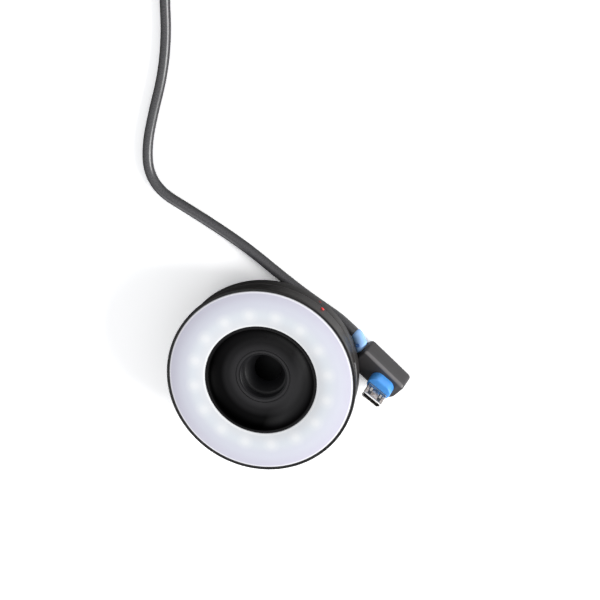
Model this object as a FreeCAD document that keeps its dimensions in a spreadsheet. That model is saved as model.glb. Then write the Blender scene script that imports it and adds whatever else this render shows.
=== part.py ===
import FreeCAD, Part
import math
import os
import Sketcher
from FreeCAD import Placement, Rotation, Vector

# Macro ring light lying on its rear collar, light facing up along +Z.
# Origin: on the ring's axis, at the foot of the collar. Millimetres.

SIZES = {
    # Turning rear lock ring: a collar round the lens, a web and the narrow rear band
    "collar_height": 8.5,
    "collar_wall": 1.6,
    "band_height": 3.9,
    "band_gap": 0.2,
    "band_wall": 1.6,
    "web_thickness": 1.0,
    "shoulder_wall": 1.5,
    "shoulder_height": 2.2,
    "lock_turn": 45.0,
    # Front housing
    "housing_radius": 29.9,
    "housing_height": 7.9,
    "housing_wall": 1.2,
    "bezel_reach": 0.9,
    "bezel_height": 1.8,
    "bezel_chamfer": 0.2,
    "bezel_step": 0.2,
    "boss_inset": 3.6,
    "boss_radius": 2.6,
    "boss_count": 8.0,
    "boss_height": 2.7,
    "first_boss_angle": 30.0,
    # Diffuser
    "bezel_lip": 0.8,
    "diffuser_width": 11.85,
    "diffuser_thickness": 1.2,
    "diffuser_bevel": 0.35,
    "seat_gap": 0.05,
    # Lamp board and what is on it
    "board_gap": 0.3,
    "board_bore_gap": 0.25,
    "board_thickness": 0.8,
    "led_count": 16.0,
    "led_inset": 3.85,
    "led_length": 3.5,
    "led_width": 2.8,
    "led_height": 0.65,
    "first_led_angle": 9.0,
    "reflector_sheet": 0.35,
    "reflector_wall": 0.45,
    "reflector_gap": 0.05,
    "led_window_gap": 0.25,
    "resistor_count": 8.0,
    "resistor_inset": 0.8,
    "resistor_length": 2.0,
    "resistor_width": 1.2,
    "resistor_height": 0.5,
    "chip_length": 5.0,
    "chip_width": 4.0,
    "chip_height": 1.6,
    "chip_outset": 1.0,
    "capacitor_radius": 1.8,
    "capacitor_height": 2.2,
    "capacitor_outset": 0.6,
    # Charging socket in the side wall
    "socket_angle": 4.4,
    "socket_width": 7.5,
    "socket_height": 2.5,
    "socket_depth": 5.2,
    "socket_wall": 0.25,
    "socket_recess": 0.4,
    "socket_cut_gap": 0.2,
    "tongue_width": 3.8,
    "tongue_height": 0.6,
    "tongue_depth": 4.0,
    "socket_back": 0.8,
    "contact_count": 5.0,
    "contact_pitch": 0.65,
    "contact_width": 0.3,
    "contact_height": 0.12,
    # Black inner hood with its threaded bore and conical stop
    "hood_wall": 0.9,
    "hood_lip_drop": 0.1,
    "hood_floor_edge": 0.4,
    "hood_slope_drop": 1.6,
    "hood_bowl_inset": 3.6,
    "hood_bowl_drop": 3.35,
    "hood_floor_drop": 3.8,
    "hood_floor_thickness": 0.9,
    "hub_wall": 1.2,
    "ring_groove_inset": 0.3,
    "ring_groove_width": 0.25,
    "ring_groove_depth": 0.35,
    "sleeve_radius": 8.0,
    "sleeve_wall": 0.7,
    "thread_depth": 0.25,
    "thread_pitch": 0.75,
    "thread_turns": 4.0,
    "thread_land": 0.25,
    "thread_flank": 0.35,
    "stop_mouth_inset": 0.7,
    "stop_hole_inset": 2.1,
    "stop_depth": 4.6,
    "stop_wall": 0.8,
    "stop_rim": 0.6,
    # Rear plate and collet
    "plate_thickness": 0.8,
    "plate_gap": 0.1,
    "collet_inset": 9.4,
    "collet_wall": 1.4,
    "collet_gap": 0.05,
    "collet_flange": 1.1,
    "collet_flange_inset": 2.0,
    "collet_foot_gap": 0.4,
    "collet_seat_drop": 0.1,
    "collet_seat_step": 0.8,
    "collet_slot_count": 8.0,
    "collet_slot_width": 1.0,
    "collet_slot_drop": 0.53,
    "groove_height": 0.9,
    "groove_depth": 0.5,
    "groove_drop": 1.4,
    "wire_gap": 0.08,
    "wire_opening": 30.0,
    "washer_gap": 0.05,
    "washer_width": 1.3,
    "stop_pin_radius": 0.8,
    "stop_pin_outset": 2.5,
    "stop_pin_gap": 0.2,
    "stop_slot_depth": 0.7,
    # Screws
    "shank_radius": 0.8,
    "head_radius": 1.4,
    "head_height": 0.7,
    "drive_radius": 0.55,
    "drive_depth": 0.4,
    "screw_reach": 2.0,
    "hole_gap": 0.1,
    # Index dots on the housing and on the lock ring
    "dot_radius": 0.55,
    "dot_sink": 0.3,
    "front_dot_angle": 51.1,
    "front_dot_rise": 1.0,
    "rear_dot_angle": 54.6,
    # Cable
    "cable_diameter": 3.3,
    "floor_gap": 0.03,
    # Angled small plug
    "plug_stand": 5.5,
    "plug_y": -0.65,
    "plug_turn": -37.76,
    "plug_body_turn": -42.76,
    "plug_roll": 18.0,
    "plug_length": 17.7,
    "plug_free_end": 8.6,
    "plug_width": 9.0,
    "plug_depth": 7.2,
    "plug_edge": 1.0,
    "plug_corner": 3.6,
    "plug_small_corner": 1.3,
    "plug_shell_offset": 2.6,
    "plug_shell_shift": -1.2,
    "plug_collar_shift": -0.5,
    "plug_collar_length": 8.5,
    "plug_collar_width": 5.6,
    "plug_collar_height": 3.7,
    "plug_collar_edge": 0.5,
    "plug_front_sink": 0.8,
    "plug_shell_length": 6.85,
    "plug_shell_width": 1.9,
    "plug_shell_bevel": 0.65,
    "plug_shell_reach": 9.2,
    "plug_shell_wall": 0.25,
    "plug_insert_gap": 0.6,
    "plug_insert_height": 8.0,
    "hook_length": 2.6,
    "hook_width": 0.7,
    "hook_height": 0.35,
    "hook_spread": 3.7,
    "hook_place": 5.6,
    "relief_shift": 1.7,
    "relief_drop": 3.5,
    "relief_base_radius": 2.6,
    "relief_tip_radius": 2.0,
    "relief_belly": 0.1,
    # Put-away coil, its strap and the far plug
    "coil_start_x": -33.0,
    "coil_y": 149.0,
    "coil_radius": 25.0,
    "coil_pitch": 3.75,
    "coil_inner_radius": 12.55,
    "coil_rim_flat": 0.05,
    "strap_thickness": 0.5,
    "strap_width": 6.0,
    "strap_gap": 0.1,
    "strap_angle": -60.0,
    "far_plug_length": 21.0,
    "far_plug_width": 14.0,
    "far_plug_height": 8.0,
    "far_plug_edge": 1.6,
    "far_shell_length": 12.0,
    "far_shell_width": 12.0,
    "far_shell_height": 4.5,
    "far_shell_wall": 0.3,
    "far_tongue_height": 1.9,
    "far_tongue_setback": 0.6,
    "far_contact_count": 4.0,
    "far_contact_pitch": 2.2,
    "far_contact_width": 1.1,
    "far_contact_length": 7.5,
    "far_contact_height": 0.1,
    "far_relief_length": 9.0,
    "far_relief_radius": 2.9,
    "far_relief_tip_radius": 2.1,
    "tail_lead": 4.0,
    "tail_length": 16.0,
    "tail_ease": 0.1,
}

# Radii and places that follow from the sizes above, in the order that they build on
RELATED = {
    "bezel_radius": "=housing_radius + bezel_reach",
    "diffuser_radius": "=bezel_radius - bezel_lip",
    "diffuser_bore_radius": "=diffuser_radius - diffuser_width",
    "board_radius": "=housing_radius - housing_wall - board_gap",
    "board_bore_radius": "=diffuser_bore_radius + board_bore_gap",
    "boss_circle": "=housing_radius - boss_inset",
    "led_circle": "=diffuser_bore_radius + led_inset",
    "resistor_circle": "=led_circle - resistor_inset",
    "chip_circle": "=led_circle + chip_outset",
    "capacitor_circle": "=led_circle + capacitor_outset",
    "hub_radius": "=sleeve_radius + hub_wall",
    "hood_floor_radius": "=hub_radius + hood_floor_edge",
    "ring_groove_radius": "=hub_radius - ring_groove_inset",
    "sleeve_bore_radius": "=sleeve_radius - sleeve_wall",
    "stop_mouth_radius": "=sleeve_bore_radius - stop_mouth_inset",
    "stop_hole_radius": "=stop_mouth_radius - stop_hole_inset",
    "collet_bore_radius": "=housing_radius - collet_inset",
    "collar_bore_radius": "=collet_bore_radius + collet_wall",
    "collar_radius": "=collar_bore_radius + collar_wall",
    "shoulder_radius": "=collar_bore_radius + shoulder_wall",
    "collet_flange_radius": "=housing_radius - collet_flange_inset",
    "collet_seat_height": "=collar_height - collet_seat_drop",
    "groove_place": "=collar_height - groove_drop",
    "collet_slot_height": "=groove_place - collet_slot_drop",
    "stop_pin_circle": "=collar_bore_radius + stop_pin_outset",
    "plug_x": "=housing_radius + plug_stand",
    "board_low": "=collar_height + band_height + band_gap + plate_thickness + boss_height",
    "coil_x": "=coil_start_x + coil_radius",
}

document = FreeCAD.newDocument("MacroRingLight")
sheet = document.addObject("Spreadsheet::Sheet", "Sizes")
for row, (alias, value) in enumerate((SIZES | RELATED).items(), start=1):
    sheet.set("A%d" % row, alias)
    sheet.set("B%d" % row, str(value))
    sheet.setAlias("B%d" % row, alias)
document.recompute()

AXIS_UP = Vector(0, 0, 1)
ALONG_X = Vector(1, 0, 0)
NEAR = 0.01
SUB_PARTS = []


def size(alias):
    return float(sheet.get(alias))


def named(alias):
    return "Sizes." + alias


def total(*terms):
    return "(" + " + ".join(terms) + ")"


def less(first, *terms):
    return "(" + " - ".join((first,) + terms) + ")"


def keep(label, thing):
    thing.Label = label
    SUB_PARTS.append((label, thing))
    return thing


def role_of(body, role):
    return [item for item in body.Origin.OriginFeatures if item.Role == role][0]


def sketch_in(body, name, plane, height=None):
    sketch = body.newObject("Sketcher::SketchObject", name)
    sketch.AttachmentSupport = [(role_of(body, plane), "")]
    sketch.MapMode = "FlatFace"
    if height is not None:
        sketch.setExpression("AttachmentOffset.Base.z", height)
    return sketch


def bind(sketch, kind, element, point, expression):
    """Ties one coordinate of a sketch point to an expression."""
    if expression == "0":
        axis = -2 if kind == "DistanceX" else -1
        sketch.addConstraint(Sketcher.Constraint("PointOnObject", element, point, axis))
        return
    here = sketch.getPoint(element, point)
    start = here.x if kind == "DistanceX" else here.y
    index = sketch.addConstraint(Sketcher.Constraint(kind, -1, 1, element, point, start))
    sketch.setExpression("Constraints[%d]" % index, expression)


def polygon(sketch, corners):
    """Closed outline whose corners are pairs of expressions."""
    count = len(corners)
    seeds = []
    for index in range(count):
        turn = 2 * math.pi * index / count
        seeds.append(Vector(30 + 20 * math.cos(turn), 5 + 20 * math.sin(turn), 0))
    for index in range(count):
        sketch.addGeometry(Part.LineSegment(seeds[index], seeds[(index + 1) % count]))
    for index in range(count):
        sketch.addConstraint(Sketcher.Constraint("Coincident", index, 2, (index + 1) % count, 1))
    for index, (across, up) in enumerate(corners):
        bind(sketch, "DistanceX", index, 1, across)
        bind(sketch, "DistanceY", index, 1, up)


def turned(name, corners):
    """Body of revolution about Z from an outline of (radius, height) expressions."""
    body = document.addObject("PartDesign::Body", name + "_body")
    sketch = sketch_in(body, name + "_outline", "XZ_Plane")
    polygon(sketch, corners)
    turn = body.newObject("PartDesign::Revolution", name + "_turn")
    turn.Profile = sketch
    turn.ReferenceAxis = (role_of(body, "Z_Axis"), [""])
    turn.Angle = 360
    return body


def ring(name, inner, outer, low, high):
    return turned(name, [(inner, low), (outer, low), (outer, high), (inner, high)])


def circle_sketch(body, name, radius, circle, angle, height=None):
    sketch = sketch_in(body, name, "XY_Plane", height)
    sketch.addGeometry(Part.Circle(Vector(20, 5, 0), AXIS_UP, 1))
    bind(sketch, "DistanceX", 0, 3, "%s * cos(%s)" % (circle, angle))
    bind(sketch, "DistanceY", 0, 3, "%s * sin(%s)" % (circle, angle))
    index = sketch.addConstraint(Sketcher.Constraint("Radius", 0, 1.0))
    sketch.setExpression("Constraints[%d]" % index, radius)
    return sketch


def polar(body, name, feature, count):
    pattern = body.newObject("PartDesign::PolarPattern", name)
    pattern.Originals = [feature]
    pattern.Axis = (role_of(body, "Z_Axis"), [""])
    pattern.Angle = 360
    pattern.setExpression("Occurrences", count)
    body.Tip = pattern
    return pattern


def through_holes(body, name, radius, circle, angle, count):
    """Round holes right through a body, evenly round its axis."""
    pocket = body.newObject("PartDesign::Pocket", name)
    pocket.Profile = circle_sketch(body, name + "_circle", radius, circle, angle)
    pocket.SideType = "Symmetric"
    pocket.Type = "ThroughAll"
    return polar(body, name + "_round", pocket, count)


def pad(body, name, sketch, length, back=False):
    feature = body.newObject("PartDesign::Pad", name)
    feature.Profile = sketch
    feature.setExpression("Length", length)
    feature.Reversed = back
    body.Tip = feature
    return feature


def box(name, length, width, height, corner):
    """Part box with bound sides; corner holds its three lowest coordinates."""
    block = document.addObject("Part::Box", name)
    for side, expression in zip(("Length", "Width", "Height"), (length, width, height)):
        block.setExpression(side, expression)
    for axis, expression in zip("xyz", corner):
        if expression != "0":
            block.setExpression("Placement.Base." + axis, expression)
    return block


def cylinder(name, radius, height, low):
    post = document.addObject("Part::Cylinder", name)
    post.setExpression("Radius", radius)
    post.setExpression("Height", height)
    post.setExpression("Placement.Base.z", low)
    return post


def cut(name, base, *tools):
    shape = base
    for index, tool in enumerate(tools):
        difference = document.addObject("Part::Cut", "%s_%d" % (name, index))
        difference.Base = shape
        difference.Tool = tool
        shape = difference
    return shape


def fuse(name, *pieces):
    union = document.addObject("Part::MultiFuse", name)
    union.Shapes = list(pieces)
    return union


def feature_from(name, shape, place=None):
    """Feature whose shape is worked out from the sheet's values."""
    feature = document.addObject("Part::Feature", name)
    feature.Shape = shape
    if place is not None:
        feature.Placement = place
    return feature


def copies_round(name, source, count, first_angle):
    """Group of separate copies of a piece, evenly round the ring's axis."""
    document.recompute()
    solids = []
    for index in range(int(count)):
        solid = source.Shape.copy()
        angle = first_angle + index * 360.0 / int(count)
        solid.rotate(Vector(0, 0, 0), AXIS_UP, angle)
        solids.append(solid)
    return feature_from(name, Part.makeCompound(solids))


# Heights that several pieces share, from the foot of the collar upwards
BAND_LOW = named("collar_height")
WEB_TOP = total(BAND_LOW, named("web_thickness"))
BAND_HIGH = total(BAND_LOW, named("band_height"))
HOUSING_LOW = total(BAND_HIGH, named("band_gap"))
FRONT = total(HOUSING_LOW, named("housing_height"))
PLATE_TOP = total(HOUSING_LOW, named("plate_thickness"))
BOARD_LOW = named("board_low")
BOARD_TOP = total(BOARD_LOW, named("board_thickness"))
DIFFUSER_LOW = less(FRONT, named("diffuser_thickness"))
FLANGE_LOW = less(HOUSING_LOW, named("collet_flange"))
HOUSING_BORE = less(named("housing_radius"), named("housing_wall"))
SHELF_RADIUS = total(named("diffuser_radius"), named("seat_gap"))
BORE_RADIUS = total(named("shank_radius"), named("hole_gap"))
BOSS_STEP = 360.0 / size("boss_count")
SCREWS_EACH = total(named("boss_count") + " / 2")
FRONT_DOT_HEIGHT = total(HOUSING_LOW, named("front_dot_rise"))
REAR_DOT_HEIGHT = total(BAND_LOW, named("band_height") + " / 2")
SECOND_BOSS_ANGLE = total(named("first_boss_angle"), "360 / " + named("boss_count"))


def front_housing():
    """Black ring wall with the bezel flange and the inner screw bosses."""
    bezel_low = less(FRONT, named("bezel_height"))
    body = turned("front_housing", [
        (HOUSING_BORE, HOUSING_LOW),
        (named("housing_radius"), HOUSING_LOW),
        (named("housing_radius"), less(bezel_low, named("bezel_step"))),
        (named("bezel_radius"), bezel_low),
        (named("bezel_radius"), less(FRONT, named("bezel_chamfer"))),
        (less(named("bezel_radius"), named("bezel_chamfer")), FRONT),
        (SHELF_RADIUS, FRONT),
        (SHELF_RADIUS, DIFFUSER_LOW),
        (HOUSING_BORE, DIFFUSER_LOW),
    ])
    circle = circle_sketch(body, "boss_circle_sketch", named("boss_radius"), named("boss_circle"),
                           named("first_boss_angle"), PLATE_TOP)
    boss = pad(body, "boss", circle, named("boss_height"))
    polar(body, "bosses", boss, named("boss_count"))
    through_holes(body, "boss_bores", named("shank_radius"), named("boss_circle"),
                  named("first_boss_angle"), named("boss_count"))
    gap = named("socket_cut_gap")
    socket_cut = box("socket_cut", named("socket_depth"),
                     total(named("socket_width"), gap, gap),
                     total(named("socket_height"), gap, gap),
                     (less(named("housing_radius"), named("socket_depth") + " / 2"),
                      "-" + named("socket_width") + " / 2 - " + gap,
                      less(BOARD_LOW, named("socket_height"), gap)))
    turn_by = document.addObject("Part::Compound", "socket_cut_turned")
    turn_by.Links = [socket_cut]
    turn_by.Placement = Placement(Vector(), Rotation(AXIS_UP, size("socket_angle")))
    dot = dot_tool("front_dot_seat", FRONT_DOT_HEIGHT, size("front_dot_angle"))
    return keep("front_housing", cut("front_housing_cut", body, turn_by, dot))


def dot_tool(name, height, angle):
    """Short round bar lying radially at the housing's skin."""
    post = document.addObject("Part::Cylinder", name + "_bar")
    post.setExpression("Radius", named("dot_radius"))
    post.setExpression("Height", named("dot_sink") + " * 2")
    post.Placement = Placement(Vector(), Rotation(Vector(0, 1, 0), 90))
    post.setExpression("Placement.Base.x", less(named("housing_radius"), named("dot_sink")))
    post.setExpression("Placement.Base.z", height)
    group = document.addObject("Part::Compound", name)
    group.Links = [post]
    group.Placement = Placement(Vector(), Rotation(AXIS_UP, angle))
    return group


def dot(name, height, angle):
    """Painted index dot, flush in its shallow seat."""
    bar = dot_tool(name + "_blank", height, angle)
    skin = cylinder(name + "_skin", named("housing_radius"), named("dot_radius") + " * 4",
                    less(height, named("dot_radius") + " * 2"))
    common = document.addObject("Part::Common", name + "_flush")
    common.Base = bar
    common.Tool = skin
    return keep(name, common)


def diffuser():
    """Milky ring that spreads the light, bevelled at both edges."""
    bevel = named("diffuser_bevel")
    bore = named("diffuser_bore_radius")
    rim = named("diffuser_radius")
    return keep("diffuser", turned("diffuser", [
        (bore, DIFFUSER_LOW),
        (rim, DIFFUSER_LOW),
        (rim, less(FRONT, bevel)),
        (less(rim, bevel), FRONT),
        (total(bore, bevel), FRONT),
        (bore, less(FRONT, bevel)),
    ]))


def reflector_tray():
    """White tray round the lamps, with a window for each lamp."""
    low = total(BOARD_TOP, named("reflector_gap"))
    top = DIFFUSER_LOW
    wall = named("reflector_wall")
    sheet_top = total(low, named("reflector_sheet"))
    inner = named("diffuser_bore_radius")
    outer = less(HOUSING_BORE, named("reflector_gap"))
    body = turned("reflector_tray", [
        (inner, low), (outer, low), (outer, top), (less(outer, wall), top),
        (less(outer, wall, wall), sheet_top), (total(inner, wall, wall), sheet_top),
        (total(inner, wall), top), (inner, top),
    ])
    through_holes(body, "tray_screw_holes", total(named("head_radius"), named("hole_gap")),
                  named("boss_circle"), SECOND_BOSS_ANGLE, SCREWS_EACH)
    document.recompute()
    gap = named("led_window_gap")
    window = box("led_window", total(named("led_length"), gap, gap),
                 total(named("led_width"), gap, gap), named("reflector_sheet") + " * 4",
                 (less(named("led_circle"), named("led_length") + " / 2", gap),
                  "-" + named("led_width") + " / 2 - " + gap,
                  less(low, named("reflector_sheet"))))
    windows = copies_round("led_windows", window, size("led_count"), size("first_led_angle"))
    return keep("reflector_tray", cut("reflector_tray_cut", body, windows))


def led_board():
    """Ring-shaped circuit board, screwed down on half of the bosses."""
    body = ring("led_board", named("board_bore_radius"), named("board_radius"),
                BOARD_LOW, BOARD_TOP)
    through_holes(body, "board_holes", BORE_RADIUS, named("boss_circle"),
                  SECOND_BOSS_ANGLE, SCREWS_EACH)
    return keep("led_board", body)


def led_chips():
    lamp = box("led_chip", named("led_length"), named("led_width"), named("led_height"),
               (less(named("led_circle"), named("led_length") + " / 2"),
                "-" + named("led_width") + " / 2", BOARD_TOP))
    group = copies_round("led_chips", lamp, size("led_count"), size("first_led_angle"))
    return keep("led_chips", group)


def board_parts():
    """Resistors, driver chip and capacitor under the lamp board."""
    resistor = box("resistor", named("resistor_length"), named("resistor_width"),
                   named("resistor_height"),
                   (less(named("resistor_circle"), named("resistor_length") + " / 2"),
                    "-" + named("resistor_width") + " / 2",
                    less(BOARD_LOW, named("resistor_height"))))
    half_step = 0.5 * 360.0 / size("resistor_count")
    keep("resistors", copies_round("resistors", resistor, size("resistor_count"), half_step))
    chip = box("driver_chip_block", named("chip_width"), named("chip_length"),
               named("chip_height"),
               ("-" + named("chip_circle") + " - " + named("chip_width") + " / 2",
                "-" + named("chip_length") + " / 2",
                less(BOARD_LOW, named("chip_height"))))
    keep("driver_chip", chip)
    can = cylinder("capacitor_can", named("capacitor_radius"), named("capacitor_height"),
                   less(BOARD_LOW, named("capacitor_height")))
    can.setExpression("Placement.Base.y", named("capacitor_circle"))
    keep("capacitor", can)


def socket():
    """Charging socket under the lamp board: folded shell, tongue and contacts."""
    turn = Placement(Vector(), Rotation(AXIS_UP, size("socket_angle")))
    wall = size("socket_wall")
    width = size("socket_width")
    height = size("socket_height")
    depth = size("socket_depth")
    back = size("socket_back")
    mouth = size("housing_radius") - size("socket_recess")
    low = size("board_low") - height
    outer = Part.makeBox(depth, width, height, Vector(mouth - depth, -width / 2, low))
    inner = Part.makeBox(depth - wall, width - 2 * wall, height - 2 * wall,
                         Vector(mouth - depth + wall, -width / 2 + wall, low + wall))
    keep("socket_shell", feature_from("socket_shell", outer.cut(inner), turn))
    block = Part.makeBox(back, width - 2 * wall, height - 2 * wall,
                         Vector(mouth - depth + wall, -width / 2 + wall, low + wall))
    tongue_low = low + height - wall - 2 * size("tongue_height")
    tongue = Part.makeBox(size("tongue_depth"), size("tongue_width"), size("tongue_height"),
                          Vector(mouth - depth + wall, -size("tongue_width") / 2, tongue_low))
    keep("socket_tongue", feature_from("socket_tongue", block.fuse(tongue), turn))
    contacts = []
    for index in range(int(size("contact_count"))):
        across = (index - (size("contact_count") - 1) / 2) * size("contact_pitch")
        corner = Vector(mouth - depth + wall + back, across - size("contact_width") / 2,
                        tongue_low - size("contact_height"))
        contacts.append(Part.makeBox(size("tongue_depth") - back - wall, size("contact_width"),
                                     size("contact_height"), corner))
    keep("socket_contacts", feature_from("socket_contacts", Part.makeCompound(contacts), turn))


def inner_hood():
    """Black dish inside the ring of light, with its hub and thin ring groove."""
    rim = less(named("diffuser_bore_radius"), named("seat_gap"))
    wall_bore = less(rim, named("hood_wall"))
    slope_high = less(FRONT, named("hood_slope_drop"))
    bowl_radius = less(wall_bore, named("hood_bowl_inset"))
    bowl_height = less(FRONT, named("hood_bowl_drop"))
    floor = less(FRONT, named("hood_floor_drop"))
    groove_floor = less(floor, named("ring_groove_depth"))
    groove_bore = less(named("ring_groove_radius"), named("ring_groove_width"))
    under = named("hood_floor_thickness")
    return keep("inner_hood", turned("inner_hood", [
        (less(rim, named("hood_wall")), PLATE_TOP),
        (rim, PLATE_TOP),
        (rim, less(FRONT, named("hood_lip_drop"))),
        (wall_bore, less(FRONT, named("hood_lip_drop"))),
        (wall_bore, slope_high),
        (bowl_radius, bowl_height),
        (named("hood_floor_radius"), floor),
        (named("ring_groove_radius"), floor),
        (named("ring_groove_radius"), groove_floor),
        (groove_bore, groove_floor),
        (groove_bore, floor),
        (named("sleeve_radius"), floor),
        (named("sleeve_radius"), PLATE_TOP),
        (named("hub_radius"), PLATE_TOP),
        (named("hub_radius"), less(floor, under)),
        (named("hood_floor_radius"), less(floor, under)),
        (bowl_radius, less(bowl_height, under)),
        (wall_bore, less(slope_high, under)),
    ]))


def threaded_sleeve():
    """Sleeve in the hood's hub, threaded inside."""
    low = PLATE_TOP
    top = less(FRONT, named("hood_floor_drop"))
    bore = named("sleeve_bore_radius")
    groove = total(bore, named("thread_depth"))
    corners = [(named("sleeve_radius"), low), (named("sleeve_radius"), top), (bore, top)]
    for index in range(int(size("thread_turns"))):
        passed = "%s * %d" % (named("thread_pitch"), index)
        land = "%s * %s" % (named("thread_pitch"), named("thread_land"))
        flank = "%s * %s" % (named("thread_pitch"), named("thread_flank"))
        corners += [(bore, less(top, passed, land)), (groove, less(top, passed, land, flank)),
                    (bore, less(top, passed, land, flank, flank))]
    corners.append((bore, low))
    return keep("threaded_sleeve", turned("threaded_sleeve", corners))


def stop_cone():
    """Conical sight stop under the sleeve, seated in the rear plate's hole."""
    wall = named("stop_wall")
    foot = less(PLATE_TOP, named("stop_depth"))
    mouth = named("stop_mouth_radius")
    hole = named("stop_hole_radius")
    return keep("stop_cone", turned("stop_cone", [
        (mouth, PLATE_TOP),
        (named("hub_radius"), PLATE_TOP),
        (named("hub_radius"), HOUSING_LOW),
        (total(mouth, wall), HOUSING_LOW),
        (total(hole, wall, wall), foot),
        (hole, foot),
        (hole, total(foot, named("stop_rim"))),
    ]))


def rear_plate():
    plate = ring("rear_plate", named("hub_radius"), less(HOUSING_BORE, named("plate_gap")),
                 HOUSING_LOW, PLATE_TOP)
    through_holes(plate, "plate_holes", BORE_RADIUS, named("boss_circle"),
                  named("first_boss_angle"), SCREWS_EACH)
    return keep("rear_plate", plate)


def collet_sleeve():
    """Slotted sleeve that grips the lens barrel, with its screw flange."""
    bore = named("collet_bore_radius")
    seat = less(bore, named("collet_seat_step"))
    skin = less(named("collar_bore_radius"), named("collet_gap"))
    groove = less(skin, named("groove_depth"))
    groove_low = named("groove_place")
    groove_high = total(groove_low, named("groove_height"))
    body = turned("collet_sleeve", [
        (bore, named("collet_foot_gap")), (skin, named("collet_foot_gap")),
        (skin, groove_low), (groove, groove_low), (groove, groove_high), (skin, groove_high),
        (skin, FLANGE_LOW), (named("collet_flange_radius"), FLANGE_LOW),
        (named("collet_flange_radius"), HOUSING_LOW), (seat, HOUSING_LOW),
        (seat, named("collet_seat_height")), (bore, named("collet_seat_height")),
    ])
    through_holes(body, "flange_holes", BORE_RADIUS, named("boss_circle"),
                  named("first_boss_angle"), SCREWS_EACH)
    through_holes(body, "stop_pin_holes", named("stop_pin_radius"), named("stop_pin_circle"),
                  "0", "2")
    slot = box("collet_slot", named("collar_radius"), named("collet_slot_width"),
               named("collet_slot_height"),
               ("0", "-" + named("collet_slot_width") + " / 2",
                less(named("collet_foot_gap"), named("floor_gap"))))
    slots = copies_round("collet_slots", slot, size("collet_slot_count"), 0.0)
    return keep("collet_sleeve", cut("collet_sleeve_cut", body, slots))


def lock_ring():
    """Turning rear ring: collar, web, shoulder and the narrow band outside."""
    bore = named("collar_bore_radius")
    band_bore = less(named("housing_radius"), named("band_wall"))
    groove = total(bore, named("groove_depth"))
    groove_low = named("groove_place")
    groove_high = total(groove_low, named("groove_height"))
    shoulder_top = total(BAND_LOW, named("shoulder_height"))
    body = turned("lock_ring", [
        (bore, "0"), (named("collar_radius"), "0"), (named("collar_radius"), BAND_LOW),
        (named("housing_radius"), BAND_LOW), (named("housing_radius"), BAND_HIGH),
        (band_bore, BAND_HIGH), (band_bore, WEB_TOP), (named("shoulder_radius"), WEB_TOP),
        (named("shoulder_radius"), shoulder_top), (bore, shoulder_top),
        (bore, groove_high), (groove, groove_high), (groove, groove_low), (bore, groove_low),
    ])
    document.recompute()
    slots = copies_round("stop_slots", stop_slot(), 2, 0.0)
    seat = dot_tool("rear_dot_seat", REAR_DOT_HEIGHT, size("rear_dot_angle"))
    return keep("lock_ring", cut("lock_ring_cut", body, slots, seat))


def stop_slot():
    """Round-ended arc groove in the web, as long as the lock ring's turn."""
    circle = size("stop_pin_circle")
    half = size("stop_pin_radius") + size("stop_pin_gap")
    depth = size("stop_slot_depth")
    low = size("collar_height") + size("web_thickness") - depth
    height = size("shoulder_height")
    turn = size("lock_turn")
    outer = Part.makeCylinder(circle + half, height, Vector(0, 0, low), AXIS_UP, turn)
    inner = Part.makeCylinder(circle - half, height, Vector(0, 0, low), AXIS_UP, turn)
    groove = outer.cut(inner)
    groove.rotate(Vector(0, 0, 0), AXIS_UP, -turn)
    for angle in (0.0, -turn):
        place = Vector(circle * math.cos(math.radians(angle)),
                       circle * math.sin(math.radians(angle)), low)
        groove = groove.fuse(Part.makeCylinder(half, height, place))
    return feature_from("stop_slot_shape", groove)


def stop_pins():
    pin_low = total(WEB_TOP, "-" + named("stop_slot_depth"), named("stop_pin_gap"))
    pin = cylinder("stop_pin", named("stop_pin_radius"), less(HOUSING_LOW, pin_low), pin_low)
    pin.setExpression("Placement.Base.x", named("stop_pin_circle"))
    return keep("stop_pins", copies_round("stop_pins", pin, 2, 0.0))


def retaining_wire():
    """Open wire ring that holds the lock ring on the collet."""
    inner = size("collar_bore_radius") - size("collet_gap") - size("groove_depth")
    outer = size("collar_bore_radius") + size("groove_depth") - size("wire_gap")
    low = size("groove_place") + size("wire_gap")
    height = size("groove_height") - 2 * size("wire_gap")
    sweep = 360 - size("wire_opening")
    wire = Part.makeCylinder(outer, height, Vector(0, 0, low), AXIS_UP, sweep)
    wire = wire.cut(Part.makeCylinder(inner, height, Vector(0, 0, low), AXIS_UP, sweep))
    return keep("retaining_wire", feature_from("retaining_wire", wire))


def friction_washer():
    bore = total(named("collar_bore_radius"), named("washer_gap"))
    low = total(BAND_LOW, named("shoulder_height"), named("washer_gap"))
    return keep("friction_washer", ring("friction_washer", bore,
                                        total(bore, named("washer_width")), low, FLANGE_LOW))


def screw(name, seat, upward):
    """Screw at the boss circle with its head on a seat, pointing up or down."""
    head_low = less(seat, named("head_height")) if upward else seat
    shank_low = seat if upward else less(seat, named("screw_reach"))
    drive_low = head_low if upward else total(seat, named("head_height"),
                                              "-" + named("drive_depth"))
    head = cylinder(name + "_head", named("head_radius"), named("head_height"), head_low)
    shank = cylinder(name + "_shank", named("shank_radius"), named("screw_reach"), shank_low)
    drive = cylinder(name + "_drive", named("drive_radius"), named("drive_depth"), drive_low)
    for piece in (head, shank, drive):
        piece.setExpression("Placement.Base.x", named("boss_circle"))
    return cut(name, fuse(name + "_blank", head, shank), drive)


def screws():
    each = int(size("boss_count") / 2)
    first = size("first_boss_angle")
    rear = screw("rear_screw", FLANGE_LOW, True)
    board = screw("board_screw", BOARD_TOP, False)
    keep("rear_screws", copies_round("rear_screws", rear, each, first))
    keep("board_screws", copies_round("board_screws", board, each, first + BOSS_STEP))


# Angled small plug. Its own frame: X along the body towards the free end,
# Z the way the metal shell points, origin in the middle of the front face.

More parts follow.
